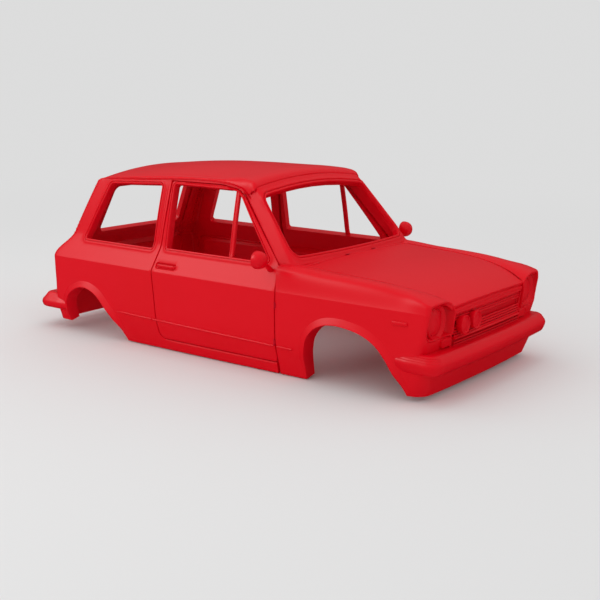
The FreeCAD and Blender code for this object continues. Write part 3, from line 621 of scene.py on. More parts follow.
# edges of panels, as (distance from the edge, height over the surface)
rolled = [(0, -4), (0.5, -2.2), (1.4, -1.0), (2.6, -0.3), (4, 0)]
framed = [(0, -6), (0.8, -1.5), (2.4, 2), (4.5, 4.4), (9, 4.8), (11.4, 3.2), (12.6, -2.4), (15.6, -2.4),
          (16.8, 2.6), (19.5, 4.8), (25, 4.5), (31, 1.5), (36, 0)]
rowMarks = [4, 30, 60, 90, 120, 150, 178, 205, 235, 265, 295, 325, 355, 385, 415, 445, 470, 488, 497, 502,
            crease, 508, 513, 522, 535, 550, 570, 590, 610, 628, 642, 650, 656, 661, 665, 669, 674, 682,
            695, 715, 740, 770, 800, 830, 860, 890, 920, 950, 980, 1005, 1030, 1050, 1068, 1084]


def archRelief(arch, fadeLow, fadeHigh):  # a lip that rises towards the arch's edge
    line = curvedLine(arch, 60)

    def relief(u, v):
        points = np.stack([u, v], 1)
        ends = line[1:]
        starts = line[:-1]
        d = ends - starts
        t = np.clip(((points[:, None] - starts[None]) * d[None]).sum(2) / (d * d).sum(1)[None], 0, 1)
        gap = points[:, None] - (starts[None] + d[None] * t[..., None])
        away = np.sqrt((gap * gap).sum(2).min(1))
        lift = flare["height"] * (1 - np.clip(away / flare["width"], 0, 1)) ** 0.95
        return np.where(away < flare["width"], lift, 0) * ease(v, fadeLow, fadeHigh)
    return relief


def archRings(arch, distances):  # lines beside the arch that carry its lip
    line = curvedLine(arch, 60)
    ahead = np.gradient(line, axis=0)
    ahead /= np.linalg.norm(ahead, axis=1)[:, None]
    left = np.stack([-ahead[:, 1], ahead[:, 0]], 1)
    return [line + left * d for d in distances]


def inset(corners, distance):  # a rounded outline, drawn in by a distance
    loop = roundedLoop(corners)
    return offset(turned(loop), distance)


# corners of the openings, as (x, z, radius)
doorHole = [(492, 70, 30), (478, 360, 200), (478, 505, 30), (458, 645, 25), (140, 1012, 60),
            (75, 1058, 120), (-60, 1076, 200), (-471, 1070, 25), (-490, 645, 0), (-507, 505, 150),
            (-448, 70, 60)]
doorGlass = [(376, 655, 12), (112, 1000, 40), (70, 1040, 40), (20, 1047, 60), (-436, 1047, 16),
             (-433, 653, 12)]
quarterGlass = [(-553, 641, 12), (-545, 1037, 16), (-992, 1011, 30), (-1160, 641, 10)]


def sideDepth(u, v):
    extra = (wallDepth["low"] - wallDepth["high"]) * (1 - ease(v, 480, 500))
    return wallDepth["high"] + extra * ease(u, -1330, -1240)


heights = np.array(rowMarks, float)
archLine = curvedLine(rearArch, 48)
outline = list(roundedLoop([(478, 2, 0), (478, 70, 0), (-448, 70, 60), (-507, 505, 150), (-490, 645, 0),
                            (-471, 1075, 0)], 14, False))
outline += [(x, roofEdgeAt(x) - 1) for x in np.linspace(-480, -1110, 36)]
tailHeights = [1012, 980, 940, 900, 860, 820, 780, 740, 700, 670, 645, 620, 590, 560, 530, 505, 480, 440,
               400, 360, 320, 280, 240, 200, 160, 120, 80, 62]
outline += [(float(tailU(z, seamY(z))), z) for z in tailHeights]
outline += [(-1330, 62)]
outline += list(archLine)
outline = spaced(np.array(outline), 16, True)
tall = heights[heights < 1040]
lines = [np.stack([tailStart(tall) - turn, tall], 1) for turn in (0, 10, 20, 30, 40, 50, 60, 70, 80, 94)]
lines += archRings(rearArch, (10, 20, 30, 39, 42, 46))
for word, side in sides:
    makePanel("bodySide_" + word, "shell", [outline, turned(roundedLoop(quarterGlass))], [rolled, framed],
              np.arange(-1600, 480, 30), rowMarks, tailFace(side), sideDepth, shellRed,
              ["rear_quarter_" + word, "sill_" + word], lines, archRelief(rearArch, 60, 150), sharp=18)
    print("body side", word)


# Front wings: side, shoulder and crown in one skin that turns the corner to the grille
def wingDepth(u, v):
    extra = (wallDepth["low"] - wallDepth["wing"]) * (1 - ease(v, 440, 500))
    return wallDepth["wing"] + extra * (1 - ease(u, 1180, 1330))


def frontU(z, past):
    return float(noseStart(z) + past)


archLine = curvedLine(frontArch, 52)
lip = [(frontU(crease, 44), 805), (frontU(crease, 44), 700), (frontU(crease, 40), 600),
       (frontU(crease, 34), crease), (frontU(470, 30), 470), (frontU(420, 28), 420), (frontU(390, 30), 390),
       (frontU(366, 38), 366), (frontU(350, 62), 350), (frontU(344, 100), 344)]
low = [(float(noseU(z, panelHalf)), z) for z in (344, 280, 220, 168)]
outline = list(roundedLoop([(493, 2, 0), (492, 70, 0), (478, 360, 200), (478, 505, 30), (459, 636, 0),
                            (466, 660, 0), (466, 805, 0)], 14, False))
outline += lip + low + [(1400, 168), (1380, 60)]
outline += [tuple(p) for p in archLine[::-1]]
outline = spaced(np.array(outline), 14, True)
crownRows = crease + np.array([3, 7, 14, 26, 40, 55, 70, 85, 100, 115, 130, 145, 160, 175, 190, 205, 220,
                               240, 260, 275, 285])
rows = np.concatenate([heights[heights <= crease], crownRows])
columns = np.concatenate([np.arange(500, 1380, 28), np.arange(1380, 1800, 26)])
fans = rows[rows < crease + 1]
lines = [np.stack([noseStart(fans) + cornerRadius(fans) * turn, fans], 1)
         for turn in np.linspace(0, 1.57, 9)]
lines += [np.stack([0 * crownRows + noseStart(crease) + turn, crownRows], 1)
          for turn in (0, 7, 14, 21, 28, 35)]
lines += archRings(frontArch, (10, 20, 30, 39, 42, 46))
for word, side in sides:
    makePanel("frontWing_" + word, "shell", [outline], [rolled], columns, rows, wingFace(side), wingDepth,
              shellRed, ["front_wing_" + word], lines, archRelief(frontArch, 60, 170), sharp=18)
    print("front wing", word)

# Doors: one skin with the window frame, a finger recess under the handle
handle = {"x": -395, "z": 545, "length": 166, "height": 36, "deep": 10, "round": 12}


def recess(u, v):
    a = np.abs(u - handle["x"]) - handle["length"] / 2 + handle["round"]
    b = np.abs(v - handle["z"]) - handle["height"] / 2 + handle["round"]
    far = np.sqrt(np.maximum(a, 0) ** 2 + np.maximum(b, 0) ** 2) - handle["round"]
    return -handle["deep"] * ease(-far, -2, 5)


door = inset(doorHole, 6)


def doorDepth(u, v):  # thinner along the edge, for the seal lip behind it
    return np.where(distanceTo(np.stack([u, v], 1), door) < 13, 13, sideDepth(u, v))


lines = [roundedLoop(boxCorners(handle["x"], handle["z"], handle["length"] / 2 - k,
                                handle["height"] / 2 - k, 14 - k), 6) for k in (-4, 0, 3, 6)]
lines = [np.vstack([line, line[:1]]) for line in lines + [offset(door, 12), offset(door, 14)]]
around = offset(turned(roundedLoop(doorHole)), 3)
for word, side in sides:
    makePanel("doorPanel_" + word, "door_" + word, [door, turned(roundedLoop(doorGlass))], [rolled, framed],
              np.arange(-500, 480, 28), rowMarks, tailFace(side), doorDepth, shellRed, ["door_" + word],
              lines, recess)
    lipLine = np.stack([around[:, 0], side * (sideY(around[:, 0], around[:, 1]) - 22), around[:, 1]], 1)
    makeStrip("doorSeal_" + word, "shell", lipLine, (0, side, 0),
              [(-9, -3), (9, -3), (9, 1), (6, 4), (-9, 4)], shellRed, closed=True)
    print("door", word)

# Roof, bonnet and scuttle
roofSide = [(x, float(-(sideY(x, roofEdge(np.array([x])))[0] + 1.5 - 52 + 20 * ease(x, 60, 190)
                        + roofCorner))) for x in np.linspace(-1112, roofFront, 76)]
roofBack = [(-1118, 578), (-1126, 562), (-1136, 540), (-1143, 500)]
roofBack += [(-1150, y) for y in np.linspace(470, -470, 34)]
roofBack += [(-1143, -500), (-1136, -540), (-1126, -562), (-1118, -578)]
roofLoop = roofSide + [(roofFront, y) for y in np.linspace(-600, 600, 62)]
roofLoop += [(x, -y) for x, y in roofSide[::-1]] + roofBack
roofLoop = np.array(roofLoop)
edgeLanes = np.array([510, 525, 540, 552, 564, 576, 588, 600, 612, 625, 640])
lanes = np.concatenate([np.arange(-480, 481, 30), edgeLanes, -edgeLanes])
frontRows = [90, 105, 120, 133, 145, 155, 163, 170, 176, 182, 187, 192]
roofRows = np.concatenate([np.arange(-1130, 80, 30), frontRows])
makePanel("roofPanel", "shell", [roofLoop], [rolled], roofRows, np.sort(lanes), roofFace,
          even(24), shellRed, ["roof_panel"])

front = [(float(frontAxle + 545 - noseBow * (y / 681) ** 2 - 2), y)
         for y in np.linspace(-panelHalf, panelHalf, 40)]
rear = frontAxle - 360
edge = [(x, seamAt(x) - 3.5) for x in np.linspace(front[-1][0], rear, 50)]
bonnetLoop = np.array(front + edge + [(rear, y) for y in np.linspace(540, -540, 30)]
                      + [(x, -y) for x, y in edge[::-1]])
makePanel("bonnetPanel", "bonnet", [bonnetLoop], [rolled], np.arange(610, 1500, 28),
          np.arange(-560, 561, 28), bonnetFace, even(22), shellRed, ["bonnet"])
edge = [(x, seamAt(x) + 1) for x in np.linspace(462, rear - 7, 12)]
scuttleLoop = np.array([(x, -y) for x, y in edge] + [(x, y) for x, y in edge[::-1]])
makePanel("scuttlePanel", "shell", [spaced(scuttleLoop, 20, True)], [rolled], np.arange(480, 590, 22),
          np.arange(-550, 551, 28), bonnetFace, even(22), shellRed, ["scuttle_panel"])
print("roof and bonnet")

# Windscreen frame with both pillars
steps = np.array([652, 690, 730, 780, 830, 880, 930, 980, 1020, 1045, 1062, 1076])
doorLine = np.interp(steps, [640, 1011], [462, 142])
pillar = [(float(screenU(x, z)), z) for x, z in zip(doorLine, steps) if z < 1000]
pillar += [(float(screenU(x, z)), z) for x, z in ((150, 1003), (144, 1016), (141, 1034), (139, 1048),
                                                  (150, 1049), (161, 1052), (178, 1060), (186, 1062))]
pillar += [(591, 1066), (583, 1073), (572, 1077), (556, 1079)]


def headerZ(u):  # where the frame meets the front edge of the roof
    return 1118.5 - 35.1 * (min(abs(u), 553) / roofHalf) ** 2


screenLoop = [(-u, z) for u, z in pillar] + [(u, headerZ(u)) for u in np.linspace(-535, 535, 46)]
screenLoop += pillar[::-1] + [(u, 652) for u in np.linspace(640, -640, 50)]
screenGlass = [(-615, 701, 45), (615, 701, 45), (552, 1026, 55)]
screenGlass += [(y, 1066 - 36 * (y / roofHalf) ** 2, 0) for y in (450, 300, 150, 0, -150, -300, -450)]
screenGlass += [(-552, 1026, 55)]
screenLoops = [spaced(np.array(screenLoop), 16, True), turned(roundedLoop(screenGlass))]
lines = [np.stack([(screenCorner(steps) - screenRound + turn) * sign, steps], 1)
         for turn in (0, 8, 17, 26, 35) for sign in (-1, 1)]
makePanel("windscreenFrame", "shell", screenLoops,
          [rolled, framed], np.arange(-740, 741, 30), np.arange(665, 1110, 22), screenFace,
          even(40), shellRed, ["windscreen_frame"], lines)
print("windscreen frame")

# Strip of body between each door and the roof
for word, side in sides:
    top = [(x, roofEdgeAt(x) - 1) for x in np.linspace(55, -479, 40)]
    cantrail = [tuple(p) for p in roundedLoop([(-474, 1070, 0), (-60, 1076, 200), (75, 1058, 120),
                                               (128, 1026, 0)], 12, False)]
    loop = np.array(cantrail + [(122, 1036), (108, 1050), (92, 1062)] + top)
    makePanel("cantrail_" + word, "shell", [spaced(loop, 12, True)], [[(0, -2), (0.6, -0.8), (1.6, 0)]],
              np.arange(-460, 110, 26), [1072, 1078, 1084], tailFace(side), even(40), shellRed,
              ["front_pillar_" + word])


# Straight and curved trim laid on the body
def onSide(side, x, z, out=0.0):
    x, z = np.asarray(x, float), np.asarray(z, float)
    return np.stack([x + 0 * z, side * (sideY(x, z) + out), z + 0 * x], 1)


def halfRound(width, height, count=7):
    turn = np.linspace(0, math.pi, count)
    arc = [(math.cos(a) * width / 2, math.sin(a) * height) for a in turn]
    return arc + [(-width / 2, -3), (width / 2, -3)]


def endsOff(count, share=0.12):  # draws a strip in towards both ends
    t = np.linspace(0, 1, count)
    return 0.25 + 0.75 * np.sqrt(np.clip(np.minimum(t, 1 - t) / share, 0, 1))


# body and the two ends of each length of moulding, along the car
mouldings = {"Rear": ("shell", -806, -502), "Door": ("door_", -490, 484), "Wing": ("shell", 496, 604)}
for word, side in sides:
    for key, (body, start, end) in mouldings.items():
        x = np.linspace(start, end, max(4, int((end - start) / 40)))
        z = np.interp(x, [-820, 605], [200, 175])
        thin = 1 - 0.6 * (np.arange(len(x)) == (0 if key == "Rear" else -1))
        makeStrip("moulding%s_%s" % (key, word), body + word if body == "door_" else body,
                  onSide(side, x, z), (0, side, 0), halfRound(13, 6), trimRed, taper=thin)
    x = np.concatenate([np.linspace(-1070, 120, 60), [134, 147, 158, 168]])
    z = roofEdge(x)
    makeStrip("dripRail_" + word, "shell", onSide(side, x, z - 4, -1), (0, side, 0.25),
              [(6, -3), (6, 4), (4.5, 7.5), (1.5, 8), (0, 5), (-1, 1), (-5, -3)], trimRed,
              taper=endsOff(len(x), 0.05))
    x = np.linspace(-425, 478, 26)
    makeStrip("sillBead_" + word, "shell", onSide(side, x, 0 * x + 64), (0, side, 0), halfRound(5, 2.6, 6),
              shellRed, taper=endsOff(len(x), 0.08))
    x = np.linspace(600, 1478, 50)
    seam = deck(x, deckSeam) + 5
    path = np.stack([x, side * seam, deck(x, deckHeight) + deck(x, deckRise) * 0.12 + 0.4], 1)
    makeStrip("wingBead_" + word, "shell", path, (0, 0, 1), halfRound(5, 2.4, 6), shellRed,
              taper=endsOff(len(x), 0.04))
    z = np.linspace(662, 1052, 12)
    for number, shift in enumerate((-16, -2)):
        x = np.interp(z, [645, 1055], [-502, -490]) + shift
        makeStrip("postRib%d_%s" % (number, word), "shell", onSide(side, x, z, -0.5), (0, side, 0),
                  halfRound(6, 3.2, 6), shellRed, taper=endsOff(len(z), 0.1))
    z = np.linspace(650, 1046, 14)
    x = np.interp(z, [655, 1040], [78, 66])
    makeStrip("ventBar_" + word, "door_" + word, onSide(side, x, z, -16), (0, side, 0),
              [(14, -10), (15, -2), (15, 6), (12, 9.5), (7, 10), (4, 6), (-4, 6), (-7, 10), (-12, 9.5),
               (-15, 6), (-15, -2), (-14, -10)], trimRed, ["vent_bar_" + word])

    # handle bar bridging its recess
    t = np.linspace(0, 1, 17)
    x = handle["x"] + (t - 0.5) * 152
    lift = -10 + 13.5 * np.sqrt(np.clip(np.minimum(t, 1 - t) / 0.08, 0, 1))
    path = onSide(side, x, 0 * x + handle["z"])
    path[:, 1] += side * lift
    grip = [(math.cos(a) * 8.5, math.sin(a) * 4) for a in np.linspace(0, 2 * math.pi, 14, endpoint=False)]
    makeStrip("doorHandle_" + word, "door_" + word, path, (0, side, 0), grip, trimRed,
              ["door_handle_" + word])

    # bullet mirror on a leaning foot
    bullet = [(0, 5), (40, 4), (43, 1), (46, -0.5), (50, 0.5), (52.5, 5), (53, 16), (51.5, 30), (48, 43),
              (42, 54), (33, 63), (22, 69.5), (11, 73), (0, 74)]
    makeTurned("mirrorShell_" + word, "door_" + word, bullet, (407, side * 834.5, 697), (1, 0, 0), trimRed,
               ["mirror_" + word], 56)
    path = np.array([(400, side * 672, 606), (402, side * 690, 622), (408, side * 724, 645),
                     (416, side * 768, 668), (424, side * 806, 686)])
    path = curvedLine(path, 16)
    oval = [(math.cos(a) * 22, math.sin(a) * 12) for a in np.linspace(0, 2 * math.pi, 20, endpoint=False)]
    makeStrip("mirrorFoot_" + word, "door_" + word, path, (0, -side * 0.5, 1), oval, trimRed,
              taper=np.interp(np.linspace(0, 1, 16), [0, 0.12, 0.45, 1], [1.25, 1.08, 0.78, 0.7]))

    # side repeater
    x0, z0 = frontAxle + 354, 438
    oval = roundedLoop(boxCorners(x0, z0, 50, 12, 12), 5)
    makePanel("sideRepeater_" + word, "shell", [oval],
              [[(0, 0), (0.4, 3.5), (1.6, 5.5), (3.4, 6.6), (6.5, 7.6)]], np.arange(x0 - 40, x0 + 41, 10),
              [z0 - 3, z0 + 3], wingFace(side), even(5), trimRed, ["side_repeater_" + word])
print("side trim")


# Nose: panel round the grille, lamp tubs and lamps
def noseFace(u, v):
    start = noseStart(v)
    half = sideY(start, v)
    x = start + cornerRadius(v) + noseBow * (1 - (u / (half - cornerRadius(v))) ** 2)
    return np.stack([x, u + 0 * v, v + 0 * u], 1)


grilleHole = [(-426, 262, 12), (426, 262, 12), (434, 464, 12), (-434, 464, 12)]
panelLoop = [(-panelHalf, 168, 0), (panelHalf, 168, 0), (panelHalf, 480, 0)]
panelLoop += [(y, 488 - 8 * (y / panelHalf) ** 2, 0) for y in (300, 150, 0, -150, -300)]
panelLoop += [(-panelHalf, 480, 0)]
panelLoops = [spaced(roundedLoop(panelLoop), 20, True), turned(roundedLoop(grilleHole))]
grilleRim = [(0, -5), (0.7, -1.2), (2, 1.5), (4, 2.6), (7, 2.6), (9, 1), (11, 0)]
makePanel("frontPanel", "shell", panelLoops, [rolled, grilleRim], np.arange(-420, 421, 30),
          [180, 200, 220, 240, 475], noseFace, even(26), shellRed, ["front_panel"])
y = np.linspace(-440, 440, 41)
under = bonnetFace(0 * y + frontAxle + 515, y)[:, 2] - 29
makeStrip("slamPanel", "shell", np.stack([0 * y + frontAxle + 506, y, under], 1), (0, 0, 1),
          [(-34, -12), (-32, -12), (-28, -3), (-22, 0), (20, -0.5), (30, -3), (34, -12), (34, -16),
           (-34, -16)], shellRed)

lampCentre = (frontAxle + 481, 590.0, 440.0)
backing = [(-11, -2), (11, -2), (11, 2), (-11, 2)]
for word, side in sides:
    z = np.linspace(200, 488, 12)
    makeStrip("noseSeal_" + word, "shell", np.stack([0 * z + frontAxle + 519, side * (450 + 0 * z), z], 1),
              (1, 0, 0), backing, shellRed)
tubFloor = frontAxle + 493
rows = [805, 790, 770, 745, 715, 680, 650, 620, 590, 560, 535, 515, crease, 490, 470, 450, 430, 410, 390,
        370, 352]
turns = np.interp(rows, [344, 350, 366, 390, 420, 470, crease, 600, 700],
                  [100, 62, 38, 30, 28, 30, 34, 40, 44]) - 1
rim = wingFace(1)(np.array([float(noseStart(min(z, crease)) + turn) for z, turn in zip(rows, turns)]),
                  np.array(rows, float))
low = [(float(noseStart(346) + cornerRadius(346)) + 2, y, 345) for y in (650, 615, 580, 545, 510, 480)]
inner = [(frontAxle + 536, 452, 352), (frontAxle + 540, 450, 400), (frontAxle + 544, 450, 450),
         (frontAxle + 547, 451, 492)]
rim = np.array(list(rim) + low + inner)
flat = turned(rim[:, 1:])
reach = rim[:, 0] if np.allclose(flat[0], rim[0, 1:]) else rim[::-1, 0]
gaps = np.linalg.norm(np.diff(np.vstack([flat, flat[:1]]), axis=0), axis=1)
marks = np.concatenate([[0], np.cumsum(gaps)])
loop = np.stack([np.interp(np.linspace(0, marks[-1], 120, endpoint=False), marks,
                           np.append(column, column[0])) for column in (reach, flat[:, 0], flat[:, 1])], 1)


def ring(shift, back):  # the rim, drawn in and set back
    return np.column_stack([loop[:, 0] - back, offset(loop[:, 1:], shift)])


def ringAt(shift, x):  # the rim, drawn in and laid flat
    return np.column_stack([np.full(len(loop), x), offset(loop[:, 1:], shift)])


angles = np.arctan2(loop[:, 2] - lampCentre[2], loop[:, 1] - lampCentre[1])


def circle(radius, x):  # round the lamp's centre
    return np.column_stack([np.full(len(loop), x), lampCentre[1] + radius * np.cos(angles),
                            lampCentre[2] + radius * np.sin(angles)])


rings = [ring(0.5, 9), ring(0.5, 3), ring(2.5, -0.5), ring(5.5, -1), ring(8.5, 1), ring(10, 5),
         ringAt(13, tubFloor + 10), ringAt(17, tubFloor + 3), ringAt(26, tubFloor - 8),
         circle(100, tubFloor - 10), circle(90, tubFloor - 10), circle(90, tubFloor - 18),
         ringAt(14, tubFloor - 18), ringAt(4, tubFloor - 2)]
count = len(loop)
faces = [(r * count + k, r * count + (k + 1) % count, (r + 1) % len(rings) * count + (k + 1) % count,
          (r + 1) % len(rings) * count + k) for r in range(len(rings)) for k in range(count)]
for word, side in sides:
    points = np.vstack(rings) * np.array([1, side, 1])
    finishMesh("lampTub_" + word, points, faces, shellRed, "shell")

    centre = (lampCentre[0], side * lampCentre[1], lampCentre[2])
    makeTurned("headlampBezel_" + word, "shell", [(76, 2), (76, 11), (78, 12.5), (92, 25), (94.5, 26.5),
                                                  (97.5, 25.5), (99.5, 22), (100, 15), (100, 2)], centre,
               (1, 0, 0), trimRed, ["headlamp_bezel_" + word], 72)
    lens = [(0, 2), (75, 2), (75.5, 9), (73, 12), (70, 12.5), (62, 17), (50, 21), (36, 24), (18, 26),
            (0, 26.6)]
    makeTurned("headlampLens_" + word, "shell", lens, centre, (1, 0, 0), trimRed, ["headlamp_" + word], 72)

    block = [(side * y, z, r) for y, z, r in ((446, 290, 10), (554, 290, 16), (554, 342, 16),
                                              (446, 342, 10))]
    makePanel("indicator_" + word, "shell", [turned(roundedLoop(block, 6))],
              [[(0, 0), (0.4, 8.5), (1.2, 11), (2.6, 12.2), (5, 12.5), (6.4, 10.4), (9, 10.4)]],
              [side * y for y in np.arange(462, 545, 12)], [308, 316, 324], noseFace,
              even(10), trimRed, ["indicator_" + word])
print("lamps")

# Auxiliary lamps: round housings on the right of the grille
for number, (y, z) in enumerate(((-366, 400), (-226, 404))):
    housing = [(0, 0), (24, 0), (40, 8), (49, 22), (52, 40), (53, 50), (52.5, 54), (50.5, 56), (48, 55.5),
               (46, 51), (44, 49), (32, 51.5), (16, 53), (0, 53.5)]
    makeTurned("auxLamp_%d" % (number + 1), "shell", housing, (frontAxle + 515, y, z), (1, 0, 0), trimRed,
               ["aux_lamp_%d" % (number + 1)], 60)


# Grille bars: one rounded bar repeated downwards in groups
def startTree(name, sockets):
    tree = bpy.data.node_groups.new(name, "GeometryNodeTree")
    face = tree.interface
    face.new_socket("Geometry", in_out="INPUT", socket_type="NodeSocketGeometry")
    names = {}
    for label, kind, value in sockets:
        socket = face.new_socket(label, in_out="INPUT", socket_type="NodeSocket" + kind)
        socket.default_value = value
        names[label] = socket.identifier
    face.new_socket("Geometry", in_out="OUTPUT", socket_type="NodeSocketGeometry")
    entry = tree.nodes.new("NodeGroupInput")

    def node(kind, **links):
        made = tree.nodes.new(kind)
        for key, source in links.items():
            put(made.inputs[key.replace("_", " ")], source)
        return made

    def put(socket, source):
        if isinstance(source, bpy.types.NodeSocket):
            tree.links.new(source, socket)
        else:
            socket.default_value = source

    def maths(a, b, operation="MULTIPLY"):
        made = tree.nodes.new("ShaderNodeMath")
        made.operation = operation
        put(made.inputs[0], a)
        put(made.inputs[1], b)
        return made.outputs[0]

    return tree, names, entry.outputs, node, maths


def endTree(tree, node, placed):
    solid = node("GeometryNodeRealizeInstances", Geometry=placed.outputs[0])
    smooth = node("GeometryNodeSetShadeSmooth", Geometry=solid.outputs[0])
    coat = node("GeometryNodeSetMaterial", Geometry=smooth.outputs[0], Material=trimRed)
    tree.links.new(coat.outputs[0], tree.nodes.new("NodeGroupOutput").inputs[0])


def barGroup():  # equal bowed bars under each other
    sockets = (("Count", "Int", 3), ("Pitch", "Float", 0.015), ("Top", "Float", 0.3),
               ("Half width", "Float", 0.42), ("Thickness", "Float", 0.006), ("Depth", "Float", 0.01),
               ("Front", "Float", 1.45), ("Bow", "Float", 0.004))
    tree, names, inputs, node, maths = startTree("barGroup", sockets)
    left = node("ShaderNodeCombineXYZ", X=inputs["Front"], Y=inputs["Half width"], Z=inputs["Top"])
    right = node("ShaderNodeCombineXYZ", X=inputs["Front"], Y=maths(inputs["Half width"], -1.0),
                 Z=inputs["Top"])
    middle = node("ShaderNodeCombineXYZ", X=maths(inputs["Front"], maths(inputs["Bow"], 2.0), "ADD"),
                  Z=inputs["Top"])
    line = node("GeometryNodeCurveQuadraticBezier", Resolution=20, Start=left.outputs[0],
                Middle=middle.outputs[0], End=right.outputs[0])
    circle = node("GeometryNodeCurvePrimitiveCircle", Resolution=14, Radius=0.5)
    squash = node("ShaderNodeCombineXYZ", X=inputs["Thickness"], Y=inputs["Depth"], Z=1.0)
    shaped = node("GeometryNodeTransform", Geometry=circle.outputs["Curve"], Scale=squash.outputs[0])
    swept = node("GeometryNodeCurveToMesh", Curve=line.outputs[0], Profile_Curve=shaped.outputs[0],
                 Fill_Caps=True)
    down = node("ShaderNodeCombineXYZ", Z=maths(inputs["Pitch"], -1.0))
    places = node("GeometryNodeMeshLine", Count=inputs["Count"], Offset=down.outputs[0])
    endTree(tree, node, node("GeometryNodeInstanceOnPoints", Points=places.outputs[0],
                             Instance=swept.outputs[0]))
    return tree, names


def louvreGroup():  # short rounded slats in a row from one point to another
    sockets = (("Count", "Int", 14), ("Start", "Vector", (0, 0, 0)), ("End", "Vector", (0, 0, 0.3)),
               ("Size", "Vector", (1, 1, 1)), ("Turn", "Vector", (0, 0, 0)))
    tree, names, inputs, node, _ = startTree("louvreGroup", sockets)
    slat = node("GeometryNodeMeshUVSphere", Segments=20, Rings=12, Radius=0.5)
    shaped = node("GeometryNodeTransform", Geometry=slat.outputs["Mesh"], Scale=inputs["Size"],
                  Rotation=inputs["Turn"])
    places = tree.nodes.new("GeometryNodeMeshLine")
    places.mode = "END_POINTS"
    tree.links.new(inputs["Count"], places.inputs["Count"])
    tree.links.new(inputs["Start"], places.inputs["Start Location"])
    tree.links.new(inputs["End"], places.inputs["Offset"])
    endTree(tree, node, node("GeometryNodeInstanceOnPoints", Points=places.outputs[0],
                             Instance=shaped.outputs[0]))
    return tree, names


def grown(name, tree, sockets, values):  # the mesh that a node tree makes with these values
    holder = bpy.data.objects.new(name, bpy.data.meshes.new(name))
    bpy.context.scene.collection.objects.link(holder)
    grow = holder.modifiers.new("grow", "NODES")
    grow.node_group = tree
    for key, value in values.items():
        grow[sockets[key]] = value
    bpy.context.view_layer.update()
    mesh = bpy.data.meshes.new_from_object(holder.evaluated_get(bpy.context.evaluated_depsgraph_get()))
    bpy.data.objects.remove(holder)
    return mesh


def joined(name, meshes, body, nodes):  # several grown meshes as one piece
    work = bmesh.new()
    for mesh in meshes:
        work.from_mesh(mesh)
    bmesh.ops.remove_doubles(work, verts=work.verts, dist=1e-6)
    bmesh.ops.recalc_face_normals(work, faces=work.faces)
    whole = bpy.data.meshes.new(name)
    work.to_mesh(whole)
    work.free()
    return placePiece(name, whole, trimRed, body, nodes, sharpAngle)


barTree, barInputs = barGroup()
grilleGroups = [
    {"Count": 3, "Pitch": 0.0145, "Top": 0.457, "Thickness": 0.006, "Depth": 0.012},
    {"Count": 4, "Pitch": 0.0158, "Top": 0.382, "Thickness": 0.006, "Depth": 0.012},
    {"Count": 1, "Pitch": 0.01, "Top": 0.323, "Thickness": 0.026, "Depth": 0.016},
    {"Count": 3, "Pitch": 0.0145, "Top": 0.297, "Thickness": 0.005, "Depth": 0.010},
]
grilleFins = {"Count": 58, "Pitch": 0.0034, "Top": 0.461, "Thickness": 0.0012, "Depth": 0.012}
bars = [grown("bars", barTree, barInputs, {**group, "Front": 1.482, "Half width": 0.424, "Bow": 0.006})
        for group in grilleGroups]
joined("grilleBars", bars, "shell", ["grille"])
screen = grown("screen", barTree, barInputs, {**grilleFins, "Front": 1.4655, "Half width": 0.441,
                                              "Bow": 0.006})
joined("grilleScreen", [screen], "shell", [])
posts = [[(1446, y, 264), (1446, y, 462)] for y in (-424, -150, 150, 424)]
for number, post in enumerate(posts):
    makeStrip("grillePost_%d" % number, "shell", spaced(np.array(post, float), 30), (1, 0, 0),
              [(5, -4), (5, 24), (3, 27), (-3, 27), (-5, 24), (-5, -4)], trimRed)
print("grille")


# Bumpers and valance: rows at several heights, each one carried round the end of the car in plan
def planPath(end, half, tip, arm, corner, bulge, tuck):
    bend = [(tip - end * (bulge + corner * (1 - math.sin(angle))), -half + corner * (1 - math.cos(angle)))
            for angle in np.linspace(0, math.pi / 2, 14)]
    flank = [(x, -half + tuck * (1 - float(ease(abs(x - arm), 0, 80))))
             for x in np.linspace(arm, bend[0][0], 10)[:-1]]
    far = half - corner
    front = [(tip - end * bulge * (y / far) ** 2, y) for y in np.linspace(-far, far, 40)[1:-1]]
    line = flank + bend + front + [(x, -y) for x, y in bend[::-1]] + [(x, -y) for x, y in flank[::-1]]
    return np.array(line)


# rows of (z, half, tip, arm, corner, bulge, tuck)
def makeWrap(name, end, rows, material, nodes):
    paths = [planPath(end, *row[1:]) for row in rows]
    count = len(rows)
    points = [(path[i][0], path[i][1], row[0]) for i in range(len(paths[0]))
              for path, row in zip(paths, rows)]
    faces = []
    for i in range(len(paths[0]) - 1):
        faces += [(i * count + k, i * count + (k + 1) % count, (i + 1) * count + (k + 1) % count,
                   (i + 1) * count + k) for k in range(count)]
    last = (len(paths[0]) - 1) * count
    faces.append(tuple(range(count - 1, -1, -1)))
    faces.append(tuple(last + k for k in range(count)))
    return finishMesh(name, points, faces, material, "shell", nodes, 30)


# a section is a list of height, how far in at the sides and how far in at the end
def bumperRows(tip, way, arm, lift, section):
    half, corner, bulge, tuck = (bumper[key] for key in ("half", "corner", "bulge", "tuck"))
    return [(z + lift, half + sideIn, tip + way * endIn, arm, corner + sideIn, bulge, tuck)
            for z, sideIn, endIn in section]


